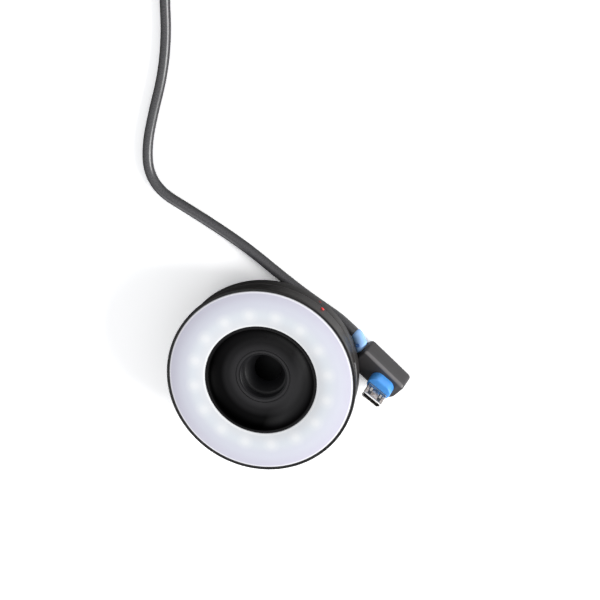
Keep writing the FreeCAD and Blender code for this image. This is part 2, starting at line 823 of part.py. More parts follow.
def lowest_of_plug():
    """Height of the front face's middle when the rolled body touches the floor."""
    roll = math.radians(size("plug_roll"))
    edge = size("plug_edge")
    across = size("plug_width") / 2 - edge
    deep = size("plug_depth") - edge
    return across * math.sin(roll) + deep * math.cos(roll) + edge + size("floor_gap")


def plug_placement(turn):
    """Place of the rolled plug, turned on the floor by an angle in degrees."""
    middle = Vector(size("plug_x"), size("plug_y"), lowest_of_plug())
    return Placement(middle, Rotation(AXIS_UP, turn) * Rotation(ALONG_X, size("plug_roll")))


PLUG_PLACE = plug_placement(size("plug_turn"))
BODY_PLACE = plug_placement(size("plug_body_turn"))


def edges_along(shape, direction, test):
    """Straight edges along a direction whose middle passes a test."""
    found = []
    for edge in shape.Edges:
        if not isinstance(edge.Curve, Part.Line):
            continue
        lies_along = abs(edge.Curve.Direction.dot(direction)) > 0.999
        if lies_along and test(edge.CenterOfMass):
            found.append(edge)
    return found


def plug_body():
    """Grip of the angled plug: a deep block, well rounded at its lower free corner."""
    length = size("plug_length")
    width = size("plug_width")
    depth = size("plug_depth")
    free_end = size("plug_free_end")
    cable_end_x = free_end - length
    block = Part.makeBox(length, width, depth, Vector(cable_end_x, -width / 2, -depth))
    big = edges_along(block, AXIS_UP, lambda middle: middle.x > 0 and middle.y < 0)
    block = block.makeFillet(size("plug_corner"), big)
    small = edges_along(block, AXIS_UP, lambda middle: abs(middle.y) > width / 2 - NEAR
                        and not cable_end_x + NEAR < middle.x < free_end - NEAR)
    block = block.makeFillet(size("plug_small_corner"), small)
    rims = [edge for edge in block.Edges if edge.BoundBox.ZLength < NEAR]
    block = block.makeFillet(size("plug_edge"), rims)
    return keep("small_plug_body", feature_from("small_plug_body", block, BODY_PLACE))


def stadium(length, width, height, centre):
    straight = length - width
    bar = Part.makeBox(straight, width, height, centre - Vector(straight / 2, width / 2, 0))
    for end in (-1, 1):
        middle = centre + Vector(end * straight / 2, 0, 0)
        bar = bar.fuse(Part.makeCylinder(width / 2, height, middle))
    return bar.removeSplitter()


def shell_bar(length, width, bevel, height, centre):
    """Bar with the small plug's outline: a rectangle with two bevelled corners."""
    side = length / 2
    corners = [(-side, -width / 2 + bevel), (-side + bevel, -width / 2),
               (side - bevel, -width / 2), (side, -width / 2 + bevel),
               (side, width / 2), (-side, width / 2)]
    points = [centre + Vector(across, up, 0) for across, up in corners]
    face = Part.Face(Part.makePolygon(points + points[:1]))
    return face.extrude(Vector(0, 0, height))


def plug_front(body):
    """Blue collar, metal shell, insert and latch hooks of the angled plug.

    The first three start inside the grip's front face and are cut off by the grip.
    """
    grip = body.Shape.copy()
    grip.Placement = PLUG_PLACE.inverse().multiply(BODY_PLACE)
    sink = size("plug_front_sink")
    centre = Vector(size("plug_shell_offset"), size("plug_shell_shift"), 0)
    base = centre - AXIS_UP * sink
    collar_base = Vector(centre.x, size("plug_collar_shift"), -sink)
    length = size("plug_shell_length")
    width = size("plug_shell_width")
    bevel = size("plug_shell_bevel")
    reach = size("plug_shell_reach")
    wall = size("plug_shell_wall")
    top = size("plug_collar_height")
    collar = stadium(size("plug_collar_length"), size("plug_collar_width"), top + sink,
                     collar_base)
    rim = [edge for edge in collar.Edges
           if edge.BoundBox.ZLength < NEAR and edge.CenterOfMass.z > top - NEAR]
    collar = collar.makeFillet(size("plug_collar_edge"), rim)
    outside = shell_bar(length, width, bevel, reach + sink, base)
    inside = shell_bar(length - 2 * wall, width - 2 * wall, bevel - wall / 2, reach + sink, base)
    spread = size("hook_spread") / 2
    hooks = []
    for side in (-1, 1):
        corner = centre + Vector(side * spread - size("hook_width") / 2, width / 2 - wall,
                                 size("hook_place"))
        hooks.append(Part.makeWedge(corner.x, corner.y, corner.z, corner.z, corner.x,
                                    corner.x + size("hook_width"),
                                    corner.y + wall + size("hook_height"),
                                    corner.z + size("hook_length"), corner.z,
                                    corner.x + size("hook_width")))
    shell = outside.cut(inside).cut(grip)
    for hook in hooks:
        shell = shell.cut(hook)
    collar = collar.cut(outside).cut(grip)
    keep("small_plug_collar", feature_from("small_plug_collar", collar, PLUG_PLACE))
    keep("small_plug_shell", feature_from("small_plug_shell", shell, PLUG_PLACE))
    keep("small_plug_hooks", feature_from("small_plug_hooks", Part.makeCompound(hooks),
                                          PLUG_PLACE))
    gap = size("plug_insert_gap")
    insert = Part.makeBox(length - 2 * wall - 2 * bevel, width - 2 * wall - gap,
                          size("plug_insert_height") + sink,
                          base - Vector(length / 2 - wall - bevel, width / 2 - wall, 0))
    keep("small_plug_insert", feature_from("small_plug_insert", insert.cut(grip), PLUG_PLACE))


# Cable route on the floor, from the angled plug's relief to the coil. It is laid
# round a collar of this radius, and moves outwards with a larger one.
LAID_ROUND = 23.5
CABLE_POINTS = [
    (26.9, 12.5, 3.0),
    (22.9, 15.7, 1.9),
    (17.7, 18.9, 1.70),
    (11.0, 23.3, 1.70),
    (2.4, 29.6, 1.70),
    (-8.0, 37.8, 1.70),
    (-19.0, 44.8, 1.70),
    (-28.6, 50.4, 1.70),
    (-36.4, 54.8, 1.70),
    (-40.6, 61.4, 1.70),
    (-40.8, 70.4, 1.70),
    (-38.4, 81.4, 1.70),
    (-35.2, 93.0, 1.70),
    (-33.6, 106.0, 1.70),
    (-34.0, 120.0, 1.74),
    (-33.0, 134.6, 1.9),
    (-33.0, 149.0, 2.25),
]
SHARE_OF_RUN = 0.45


def route_of_cable():
    """The route's points, moved with the collar's radius, the far ones less."""
    growth = size("collar_radius") - LAID_ROUND
    last = len(CABLE_POINTS) - 1
    points = []
    for index, place in enumerate(CABLE_POINTS):
        point = Vector(*place)
        outwards = Vector(point.x, point.y, 0).normalize()
        points.append(point + outwards * (growth * (last - index) / last))
    return points


def arc_between(start, tangent, end):
    """Arc from start to end that leaves start along its tangent."""
    chord = end - start
    along = chord.dot(tangent)
    reach = chord.Length * chord.Length / (2 * along)
    corner = start + tangent * reach
    middle = (start + end) * 0.5
    rise = corner - middle
    half = chord.Length / 2
    turn = math.atan2(rise.Length, half)
    if rise.Length < 1e-7:
        return Part.LineSegment(start, end).toShape()
    sag = half * math.tan(turn / 2)
    peak = middle + rise * (sag / rise.Length)
    return Part.Arc(start, peak, end).toShape()


def rounded_route(points, label):
    """Straight runs joined by the largest tangent arcs that the runs allow."""
    edges = []
    radii = []
    here = points[0]
    for before, corner, after in zip(points, points[1:], points[2:]):
        run_in = (corner - before).normalize()
        run_out = (after - corner).normalize()
        turn = run_in.getAngle(run_out)
        shorter = min((corner - before).Length, (after - corner).Length)
        cut_back = SHARE_OF_RUN * shorter
        radii.append(cut_back / math.tan(turn / 2))
        arc_start = corner - run_in * cut_back
        arc_end = corner + run_out * cut_back
        edges.append(Part.LineSegment(here, arc_start).toShape())
        edges.append(arc_between(arc_start, run_in, arc_end))
        here = arc_end
    edges.append(Part.LineSegment(here, points[-1]).toShape())
    print(label, "arc radii", ", ".join("%.1f" % radius for radius in radii))
    return edges


def tube(name, edges, diameter):
    """Round tube along a chain of tangent edges, checked by its volume."""
    wire = Part.Wire(edges)
    first = edges[0]
    start = first.valueAt(first.FirstParameter)
    tangent = first.tangentAt(first.FirstParameter)
    circle = Part.Wire([Part.Circle(start, tangent, diameter / 2).toShape()])
    solid = wire.makePipeShell([circle], True, False)
    length = sum(edge.Length for edge in edges)
    share = solid.Volume / (math.pi * diameter * diameter / 4 * length)
    print("%s: %.1f mm long, volume over section times length %.4f" % (name, length, share))
    if abs(share - 1) > 0.01:
        raise ValueError("tube %s has the wrong volume" % name)
    return solid


def relief():
    """Tapered sleeve from the plug's end face to the cable."""
    base_local = Vector(size("plug_free_end") - size("plug_length"), size("relief_shift"),
                        -size("relief_drop"))
    base = BODY_PLACE.multVec(base_local)
    out = BODY_PLACE.Rotation.multVec(Vector(-1, 0, 0))
    tip, after = route_of_cable()[:2]
    run = (after - tip).normalize()
    waist = base + out * ((tip - base).Length / 3)
    lean = (out + run).normalize()
    base_radius = size("relief_base_radius")
    tip_radius = size("relief_tip_radius")
    waist_radius = (base_radius + tip_radius) / 2 + size("relief_belly")
    sections = []
    for place, normal, radius in ((base, out, base_radius), (waist, lean, waist_radius),
                                  (tip, run, tip_radius)):
        circle = Part.Circle(place, normal, radius)
        sections.append(Part.Wire([circle.toShape()]))
    return keep("small_plug_relief", feature_from("small_plug_relief",
                                                  Part.makeLoft(sections, True)))


def coil():
    """Closed ring with the outer shape of the put-away coil's two layers of turns.

    It is notched where the cable comes in on the lower layer and leaves on the upper one.
    """
    radius = size("cable_diameter") / 2
    pitch = size("coil_pitch")
    low = size("strap_thickness") + size("strap_gap")
    outer = size("coil_radius") + radius
    middle = Vector(size("coil_x"), size("coil_y"), low)
    height = 2 * radius + pitch
    ring_solid = Part.makeCylinder(outer, height, middle)
    ring_solid = ring_solid.cut(Part.makeCylinder(size("coil_inner_radius"), height, middle))
    rims = [edge for edge in ring_solid.Edges if isinstance(edge.Curve, Part.Circle)]
    ring_solid = ring_solid.makeFillet(radius - size("coil_rim_flat"), rims)
    entry = Part.makeBox(2 * pitch, outer, 2 * height,
                         middle + Vector(pitch / 2 - outer - 2 * pitch + radius, -outer, -height))
    leaving = Part.makeBox(outer, 2 * pitch, height,
                           middle + Vector(size("tail_lead"), outer - pitch - radius / 2, pitch))
    return keep("cable_coil", feature_from("cable_coil", ring_solid.cut(entry).cut(leaving)))


def cable():
    diameter = size("cable_diameter")
    run = rounded_route(route_of_cable(), "cable run")
    keep("cable_run", feature_from("cable_run", tube("cable_run", run, diameter)))
    last = Vector(size("coil_x") + size("tail_lead"), size("coil_y") + size("coil_radius"),
                  size("strap_thickness") + size("strap_gap") + diameter / 2 + size("coil_pitch"))
    end = last + Vector(size("tail_length"), 0, size("far_plug_height") / 2 - last.z)
    ease = Vector(size("tail_length") / 3, 0, -size("tail_ease"))
    points = [last, last + ease, end - ease, end]
    tail = rounded_route(points, "cable tail")
    keep("cable_tail", feature_from("cable_tail", tube("cable_tail", tail, diameter)))
    return end


def strap():
    """Thin strap round both layers of the coil."""
    thickness = size("strap_thickness")
    gap = size("strap_gap")
    radius = size("cable_diameter") / 2
    width = size("strap_width")
    inner = math.sqrt(size("coil_inner_radius") ** 2 - (width / 2) ** 2)
    outer = size("coil_radius") + radius
    top = 2 * radius + size("coil_pitch")
    hole = Part.makeBox(outer - inner + 2 * gap, width, top + 2 * gap,
                        Vector(inner - gap, -width / 2, 0))
    band = Part.makeBox(outer - inner + 2 * gap + 2 * thickness, width,
                        top + 2 * gap + 2 * thickness,
                        Vector(inner - gap - thickness, -width / 2, -thickness))
    place = Placement(Vector(size("coil_x"), size("coil_y"), thickness),
                      Rotation(AXIS_UP, size("strap_angle")))
    corners = [edge for edge in band.Edges if abs(edge.tangentAt(0).y) > 0.9]
    band = band.makeFillet(thickness, corners)
    return keep("cable_strap", feature_from("cable_strap", band.cut(hole), place))


def far_plug(end):
    """Flat rectangular plug on the cable's far end, lying on the floor."""
    length = size("far_plug_length")
    width = size("far_plug_width")
    height = size("far_plug_height")
    start = end.x + size("far_relief_length")
    centre_z = height / 2
    cone = Part.makeCone(size("far_relief_tip_radius"), size("far_relief_radius"),
                         size("far_relief_length"), Vector(end.x, end.y, centre_z), ALONG_X)
    keep("far_plug_relief", feature_from("far_plug_relief", cone))
    block = Part.makeBox(length, width, height, Vector(start, end.y - width / 2, 0))
    block = block.makeFillet(size("far_plug_edge"), block.Edges)
    keep("far_plug_body", feature_from("far_plug_body", block))
    wall = size("far_shell_wall")
    shell_width = size("far_shell_width")
    shell_height = size("far_shell_height")
    front = start + length
    corner = Vector(front, end.y - shell_width / 2, centre_z - shell_height / 2)
    shell = Part.makeBox(size("far_shell_length"), shell_width, shell_height, corner)
    hollow = Part.makeBox(size("far_shell_length"), shell_width - 2 * wall,
                          shell_height - 2 * wall, corner + Vector(0, wall, wall))
    keep("far_plug_shell", feature_from("far_plug_shell", shell.cut(hollow)))
    tongue = Part.makeBox(size("far_shell_length") - size("far_tongue_setback"),
                          shell_width - 2 * wall, size("far_tongue_height"),
                          corner + Vector(0, wall, wall))
    keep("far_plug_tongue", feature_from("far_plug_tongue", tongue))
    count = int(size("far_contact_count"))
    strips = []
    for index in range(count):
        across = end.y + (index - (count - 1) / 2) * size("far_contact_pitch")
        place = Vector(front + size("far_shell_length") - 2 * size("far_tongue_setback")
                       - size("far_contact_length"), across - size("far_contact_width") / 2,
                       corner.z + wall + size("far_tongue_height"))
        strips.append(Part.makeBox(size("far_contact_length"), size("far_contact_width"),
                                   size("far_contact_height"), place))
    keep("far_plug_contacts", feature_from("far_plug_contacts", Part.makeCompound(strips)))


front_housing()
dot("front_dot", FRONT_DOT_HEIGHT, size("front_dot_angle"))
diffuser()
reflector_tray()
led_board()
led_chips()
board_parts()
socket()
inner_hood()
threaded_sleeve()
stop_cone()
rear_plate()
collet_sleeve()
lock_ring()
dot("rear_dot", REAR_DOT_HEIGHT, size("rear_dot_angle"))
stop_pins()
retaining_wire()
friction_washer()
screws()
plug_front(plug_body())
relief()
cable_end = cable()
coil()
strap()
far_plug(cable_end)

document.recompute()
for item in document.Objects:
    if "Invalid" in item.State or "Error" in item.State:
        raise ValueError("object %s failed: %s" % (item.Name, item.State))
os.makedirs("parts", exist_ok=True)
for label, piece in SUB_PARTS:
    if piece.Shape.isNull() or not piece.Shape.isValid():
        raise ValueError("sub-part %s has no valid shape" % label)
    piece.Shape.exportStep("parts/%s.step" % label)
    print("%-20s %3d solids %10.2f mm3" % (label, len(piece.Shape.Solids), piece.Shape.Volume))
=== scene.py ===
import math

import bmesh
import bpy
from mathutils import Matrix, Vector


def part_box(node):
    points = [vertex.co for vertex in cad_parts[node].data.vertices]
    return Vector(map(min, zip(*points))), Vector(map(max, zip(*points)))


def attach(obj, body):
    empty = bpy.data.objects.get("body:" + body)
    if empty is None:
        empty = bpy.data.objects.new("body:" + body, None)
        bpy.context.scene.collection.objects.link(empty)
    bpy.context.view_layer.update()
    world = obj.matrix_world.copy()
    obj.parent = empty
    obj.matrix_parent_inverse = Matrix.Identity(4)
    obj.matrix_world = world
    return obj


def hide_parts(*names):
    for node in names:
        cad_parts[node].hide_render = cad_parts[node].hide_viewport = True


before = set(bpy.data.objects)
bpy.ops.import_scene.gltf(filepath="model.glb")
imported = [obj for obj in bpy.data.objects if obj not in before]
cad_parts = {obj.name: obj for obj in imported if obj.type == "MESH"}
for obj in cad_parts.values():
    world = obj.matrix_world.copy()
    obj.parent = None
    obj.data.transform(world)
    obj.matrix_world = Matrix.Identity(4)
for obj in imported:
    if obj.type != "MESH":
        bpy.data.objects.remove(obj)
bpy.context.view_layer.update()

mm = 0.001

# Camera: about 0.66 m from the ring, 25 degrees off its axis, with a long
# lens. The ring lies face up, so the camera looks down past its upper right.
camera_place = Vector((135.44, 242.76, 619.1)) * mm
camera_right = Vector((0.97967, 0.0, -0.20059))
camera_back = Vector((0.18926, 0.33142, 0.92431))
camera_data = bpy.data.cameras.new("camera")
camera_data.sensor_width = 36.0
camera_data.lens = 124.34
camera_data.clip_start = 0.01
camera_data.clip_end = 10.0
camera = bpy.data.objects.new("camera", camera_data)
turn = Matrix((camera_right, camera_back.cross(camera_right), camera_back)).transposed()
camera.matrix_world = Matrix.Translation(camera_place) @ turn.to_4x4()
bpy.context.scene.collection.objects.link(camera)
bpy.context.scene.camera = camera

# Floor and light: a pale floor under a soft white ceiling, with the room darker
# towards the horizon, and large soft lamps on the right, left and low front.
bpy.context.scene.view_settings.view_transform = "Standard"
room = bpy.data.worlds.new("room")
room.use_nodes = True
room_tree = room.node_tree
room_light = room_tree.nodes["Background"]
room_light.inputs["Color"].default_value = (0.97, 0.98, 1.0, 1.0)
sky_way = room_tree.nodes.new("ShaderNodeTexCoord")
sky_parts = room_tree.nodes.new("ShaderNodeSeparateXYZ")
ceiling = room_tree.nodes.new("ShaderNodeMapRange")
ceiling.inputs["From Min"].default_value = 0.05
ceiling.inputs["From Max"].default_value = 0.75
ceiling.inputs["To Min"].default_value = 0.12
ceiling.inputs["To Max"].default_value = 0.62
room_tree.links.new(sky_way.outputs["Generated"], sky_parts.inputs["Vector"])
room_tree.links.new(sky_parts.outputs["Z"], ceiling.inputs["Value"])
room_tree.links.new(ceiling.outputs["Result"], room_light.inputs["Strength"])
bpy.context.scene.world = room


def soft_lamp(name, place, width, watts):
    """Square lamp at a place in metres, turned to the ring."""
    data = bpy.data.lights.new(name, "AREA")
    data.size = width
    data.energy = watts
    lamp = bpy.data.objects.new(name, data)
    lamp.location = place
    aim = Vector((0, 0, 0.01)) - Vector(place)
    lamp.rotation_euler = aim.to_track_quat("-Z", "Y").to_euler()
    bpy.context.scene.collection.objects.link(lamp)


soft_lamp("right_lamp", (0.80, -0.16, 0.36), 0.5, 11.5)
soft_lamp("left_lamp", (-0.35, 0.60, 1.00), 0.6, 2.6)
soft_lamp("low_lamp", (-0.50, -0.70, 0.40), 0.4, 2.0)



def material_with(name, colour, roughness):
    """New node material; returns it with its node tree and its shader."""
    finish = bpy.data.materials.new(name)
    finish.use_nodes = True
    shader = finish.node_tree.nodes["Principled BSDF"]
    shader.inputs["Base Color"].default_value = (*colour, 1.0)
    shader.inputs["Roughness"].default_value = roughness
    return finish, finish.node_tree, shader


floor_mesh = bpy.data.meshes.new("floor")
floor_shape = bmesh.new()
bmesh.ops.create_grid(floor_shape, x_segments=2, y_segments=2, size=3.0)
floor_shape.to_mesh(floor_mesh)
floor_shape.free()
floor = bpy.data.objects.new("floor", floor_mesh)
bpy.context.scene.collection.objects.link(floor)
floor_finish, floor_tree, floor_shader = material_with("floor", (1.0, 1.0, 1.0), 0.9)
# Painted shade for bounce light: to all rays but the camera's the floor is nearly black, except
# beyond a line towards +x, -y where it is light grey; the camera sees it evenly white.
seen = floor_tree.nodes.new("ShaderNodeLightPath")
floor_place = floor_tree.nodes.new("ShaderNodeTexCoord")
towards_right = floor_tree.nodes.new("ShaderNodeVectorMath")
towards_right.operation = "DOT_PRODUCT"
towards_right.inputs[1].default_value = (0.88, -0.47, 0.0)
bounce = floor_tree.nodes.new("ShaderNodeMapRange")
bounce.inputs["From Min"].default_value = -0.02
bounce.inputs["From Max"].default_value = 0.03
bounce.inputs["To Min"].default_value = 0.05
bounce.inputs["To Max"].default_value = 0.9
floor_colour = floor_tree.nodes.new("ShaderNodeMix")
floor_colour.data_type = "RGBA"
floor_colour.inputs["B"].default_value = (1.35, 1.35, 1.35, 1.0)
floor_tree.links.new(floor_place.outputs["Object"], towards_right.inputs[0])
floor_tree.links.new(towards_right.outputs["Value"], bounce.inputs["Value"])
floor_tree.links.new(bounce.outputs["Result"], floor_colour.inputs["A"])
floor_tree.links.new(seen.outputs["Is Camera Ray"], floor_colour.inputs["Factor"])
floor_tree.links.new(floor_colour.outputs["Result"], floor_shader.inputs["Base Color"])
floor_mesh.materials.append(floor_finish)

# Dark card: a black disc on the floor inside the collar, so that the sight
# hole looks black from in front. It is stage, and no piece of the light.
card_radius = 20.0
card_height = 0.05
card_mesh = bpy.data.meshes.new("dark_card")
card_shape = bmesh.new()
bmesh.ops.create_circle(card_shape, cap_ends=True, radius=card_radius * mm, segments=96)
bmesh.ops.translate(card_shape, vec=(0, 0, card_height * mm), verts=card_shape.verts)
card_shape.to_mesh(card_mesh)
card_shape.free()
card = bpy.data.objects.new("dark_card", card_mesh)
bpy.context.scene.collection.objects.link(card)
card_finish = material_with("dark_card", (0.003, 0.003, 0.004), 0.5)[0]
card_mesh.materials.append(card_finish)


# Charging cable: a round black rubber lead, 3.3 mm thick. It leaves the
# small plug's sleeve, runs past the ring's wall and off to its own coil.
def grained(name, colour, roughness, grain, depth, mottle):
    """Moulded finish: fine grain in the bump, faint mottling in colour and gloss.

    Grain is the pattern's scale, depth the bump's height in metres, and mottle
    the share by which the colour swings."""
    finish, tree, shader = material_with(name, colour, roughness)
    place = tree.nodes.new("ShaderNodeTexCoord")
    fine = tree.nodes.new("ShaderNodeTexNoise")
    fine.inputs["Scale"].default_value = grain
    fine.inputs["Detail"].default_value = 4.0
    broad = tree.nodes.new("ShaderNodeTexNoise")
    broad.inputs["Scale"].default_value = grain * 0.06
    broad.inputs["Detail"].default_value = 3.0
    tree.links.new(place.outputs["Object"], fine.inputs["Vector"])
    tree.links.new(place.outputs["Object"], broad.inputs["Vector"])
    tint = tree.nodes.new("ShaderNodeMapRange")
    tint.inputs["To Min"].default_value = 1.0 - mottle
    tint.inputs["To Max"].default_value = 1.0 + mottle
    shade = tree.nodes.new("ShaderNodeMix")
    shade.data_type = "RGBA"
    shade.blend_type = "MULTIPLY"
    shade.inputs["Factor"].default_value = 1.0
    shade.inputs["A"].default_value = (*colour, 1.0)
    tree.links.new(broad.outputs["Fac"], tint.inputs["Value"])
    tree.links.new(tint.outputs["Result"], shade.inputs["B"])
    tree.links.new(shade.outputs["Result"], shader.inputs["Base Color"])
    gloss = tree.nodes.new("ShaderNodeMapRange")
    gloss.inputs["To Min"].default_value = max(roughness - 0.08, 0.04)
    gloss.inputs["To Max"].default_value = min(roughness + 0.08, 1.0)
    tree.links.new(fine.outputs["Fac"], gloss.inputs["Value"])
    tree.links.new(gloss.outputs["Result"], shader.inputs["Roughness"])
    bump = tree.nodes.new("ShaderNodeBump")
    bump.inputs["Strength"].default_value = 0.5
    bump.inputs["Distance"].default_value = depth
    tree.links.new(fine.outputs["Fac"], bump.inputs["Height"])
    tree.links.new(bump.outputs["Normal"], shader.inputs["Normal"])
    return finish


def stops(tree, value, low, high, *colours):
    """Colour ramp over a span of values from low to high; colours as (share, rgb)."""
    span = tree.nodes.new("ShaderNodeMapRange")
    span.inputs["From Min"].default_value = low
    span.inputs["From Max"].default_value = high
    tree.links.new(value, span.inputs["Value"])
    ramp = tree.nodes.new("ShaderNodeValToRGB")
    ramp.color_ramp.interpolation = "EASE"
    while len(ramp.color_ramp.elements) < len(colours):
        ramp.color_ramp.elements.new(0.5)
    for element, (share, colour) in zip(ramp.color_ramp.elements, colours):
        element.position = share
        element.color = (*colour, 1.0)
    tree.links.new(span.outputs["Result"], ramp.inputs["Fac"])
    return ramp.outputs["Color"]


def painted_light_by_facing(finish, way, low, high, colour):
    """Paints light or shade: turns a finish to another colour where its surface faces one way."""
    tree = finish.node_tree
    shader = tree.nodes["Principled BSDF"]
    facing = tree.nodes.new("ShaderNodeVectorMath")
    facing.operation = "DOT_PRODUCT"
    facing.inputs[1].default_value = way
    tree.links.new(tree.nodes.new("ShaderNodeTexCoord").outputs["Normal"], facing.inputs[0])
    tint = tree.nodes.new("ShaderNodeMix")
    tint.data_type = "RGBA"
    tint.inputs["B"].default_value = (*colour, 1.0)
    share = stops(tree, facing.outputs["Value"], low, high, (0.0, (0.0, 0.0, 0.0)),
                  (0.35, (0.55, 0.55, 0.55)), (0.7, (1.0, 1.0, 1.0)))
    tree.links.new(share, tint.inputs["Factor"])
    tree.links.new(shader.inputs["Base Color"].links[0].from_socket, tint.inputs["A"])
    tree.links.new(tint.outputs["Result"], shader.inputs["Base Color"])
    return finish


cable_diameter = 3.3 * mm
cable_run = [
    (28.0, 11.6, 3.3), (22.9, 15.7, 1.9), (17.7, 18.9, 1.70), (11.0, 23.3, 1.70),
    (2.4, 29.6, 1.70), (-8.0, 37.8, 1.70), (-19.0, 44.8, 1.70), (-28.6, 50.4, 1.70),
    (-36.4, 54.8, 1.70), (-40.6, 61.4, 1.70), (-40.8, 70.4, 1.70), (-38.4, 81.4, 1.70),
    (-35.2, 93.0, 1.70), (-33.6, 106.0, 1.70), (-34.0, 120.0, 1.74), (-33.0, 134.6, 1.9),
]
coil_middle = Vector((-8.0, 149.0, 0.0))
coil_radius = 25.0
coil_pitch = 3.75
coil_turns = 2.875
coil_low = 2.25
points_each_turn = 20
tail_points = [(-4.0, 174.0, 6.0), (1.3, 174.0, 5.9), (6.6, 174.0, 4.1), (12.0, 174.0, 4.0)]


def coil_place(degrees):
    """Point on the coil: one layer spiralling in, a climb, one layer out."""
    layer = 360 * coil_turns
    step = coil_pitch / 360
    past = min(max(degrees - layer, 0), 180)
    inward = min(degrees, layer) + min(past, 180 - past) - max(degrees - layer - 180, 0)
    radius = coil_radius - step * inward
    angle = math.radians(180 - degrees)
    height = coil_low + coil_pitch * past / 180
    return coil_middle + Vector((radius * math.cos(angle), radius * math.sin(angle), height))


coil_end = 720 * coil_turns + 180
coil_steps = round(coil_end * points_each_turn / 360)
coil_points = [coil_place(coil_end * step / coil_steps) for step in range(coil_steps + 1)]
cable_points = [Vector(point) for point in cable_run + coil_points + tail_points]
cable_curve = bpy.data.curves.new("charging_cable", "CURVE")
cable_curve.dimensions = "3D"
cable_line = cable_curve.splines.new("NURBS")
cable_line.points.add(len(cable_points) - 1)
for knot, point in zip(cable_line.points, cable_points):
    knot.co = (*(point * mm), 1.0)
cable_line.order_u = 3
cable_line.use_endpoint_u = True
cable_line.resolution_u = 6
cable_curve.bevel_depth = cable_diameter / 2
cable_curve.bevel_resolution = 6
cable_curve.use_fill_caps = True
charging_cable = bpy.data.objects.new("charging_cable", cable_curve)
bpy.context.scene.collection.objects.link(charging_cable)
cable_finish = grained("cable_rubber", (0.066, 0.065, 0.068), 0.28, 2200.0, 0.000004, 0.08)
cable_curve.materials.append(cable_finish)
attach(charging_cable, "light")
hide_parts("cable_run", "cable_coil", "cable_tail")


# Front housing: a moulded black ring wall with the bezel flange round the
# diffuser. It is turned from one outline and cut through for the socket.
ring_steps = 180
sharp_angle = math.radians(28)
merge_distance = 0.002 * mm


def finished(piece, finish, body, slot, *nodes):
    """Gives a piece its material, its body and the nodes it replaces; its slot is not used."""
    piece.data.materials.append(finish)
    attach(piece, body)
    if nodes:
        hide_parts(*nodes)
    return piece


def piece_from(shape, name, place=None):
    """Object from a bmesh, smooth except at its sharp edges, moved into place."""
    bmesh.ops.remove_doubles(shape, verts=shape.verts, dist=merge_distance)
    bmesh.ops.recalc_face_normals(shape, faces=shape.faces)
    for face in shape.faces:
        face.smooth = True
    mesh = bpy.data.meshes.new(name)
    shape.to_mesh(mesh)
    shape.free()
    if place is not None:
        mesh.transform(place)
    mesh.set_sharp_from_angle(angle=sharp_angle)
    piece = bpy.data.objects.new(name, mesh)
    bpy.context.scene.collection.objects.link(piece)
    return piece


def soften(shape, width, segments=2, limit=40.0, only=None):
    """Bevels the edges whose faces meet at more than a limit in degrees."""
    bmesh.ops.recalc_face_normals(shape, faces=shape.faces)
    edges = []
    for edge in shape.edges:
        if len(edge.link_faces) != 2 or edge.calc_face_angle(0) < math.radians(limit):
            continue
        if only is None or only(edge):
            edges.append(edge)
    bmesh.ops.bevel(shape, geom=edges, offset=width, offset_type="OFFSET", affect="EDGES",
                    segments=segments, profile=0.5, material=-1, clamp_overlap=True)


def turned(outline, bevel=0.0, steps=ring_steps, segments=2):
    """bmesh of an outline of (radius, height) in mm, turned about the ring's axis."""
    shape = bmesh.new()
    corners = [shape.verts.new((radius * mm, 0, height * mm)) for radius, height in outline]
    for here, after in zip(corners, corners[1:] + corners[:1]):
        shape.edges.new((here, after))
    bmesh.ops.spin(shape, geom=shape.verts[:] + shape.edges[:], cent=(0, 0, 0), axis=(0, 0, 1),
                   angle=math.tau, steps=steps, use_merge=True, use_duplicate=False)
    bmesh.ops.remove_doubles(shape, verts=shape.verts, dist=merge_distance)
    if bevel:
        soften(shape, bevel * mm, segments)
    return shape


housing_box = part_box("front_housing")
front = housing_box[1].z / mm
housing_low = housing_box[0].z / mm
bezel_radius = housing_box[1].x / mm
wall_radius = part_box("lock_ring")[1].x / mm
wall_bore = wall_radius - 1.2
seat_gap = 0.05
diffuser_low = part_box("diffuser")[0].z / mm
diffuser_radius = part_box("diffuser")[1].x / mm
lip_bore = diffuser_radius + seat_gap
bezel_low = front - 1.8
bezel_slope = 0.2
housing_shape = turned([
    (wall_bore, housing_low), (wall_radius, housing_low), (wall_radius, bezel_low - bezel_slope),
    (bezel_radius, bezel_low), (bezel_radius, front), (lip_bore, front),
    (lip_bore, diffuser_low), (wall_bore, diffuser_low),
], bevel=0.16)
front_housing = piece_from(housing_shape, "front_housing_ring")
socket_angle = math.radians(4.4)
socket_low, socket_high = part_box("socket_shell")
socket_middle = (socket_low.z + socket_high.z) / 2
slot_reach = 6.0
slot_width = 7.9
slot_height = 2.9
slot_corner = 0.7
slot_shape = bmesh.new()
bmesh.ops.create_cube(slot_shape, size=1.0)
bmesh.ops.scale(slot_shape, vec=Vector((slot_reach, slot_width, slot_height)) * mm,
                verts=slot_shape.verts)
inward = [edge for edge in slot_shape.edges
          if abs(edge.verts[0].co.x - edge.verts[1].co.x) > 1 * mm]
bmesh.ops.bevel(slot_shape, geom=inward, offset=slot_corner * mm, affect="EDGES", segments=5,
                profile=0.5, material=-1)
slot_place = (Matrix.Rotation(socket_angle, 4, "Z")
              @ Matrix.Translation((wall_radius * mm, 0, socket_middle)))
slot_cutter = piece_from(slot_shape, "slot_cutter", slot_place)
opening = front_housing.modifiers.new("socket_opening", "BOOLEAN")
opening.operation = "DIFFERENCE"
opening.solver = "EXACT"
opening.object = slot_cutter
bpy.context.view_layer.update()
cut_mesh = bpy.data.meshes.new_from_object(
    front_housing.evaluated_get(bpy.context.evaluated_depsgraph_get()))
front_housing.modifiers.clear()
front_housing.data = cut_mesh
bpy.data.objects.remove(slot_cutter)
housing_finish = grained("housing_plastic", (0.028, 0.025, 0.0237), 0.38, 5200.0, 0.00002, 0.2)
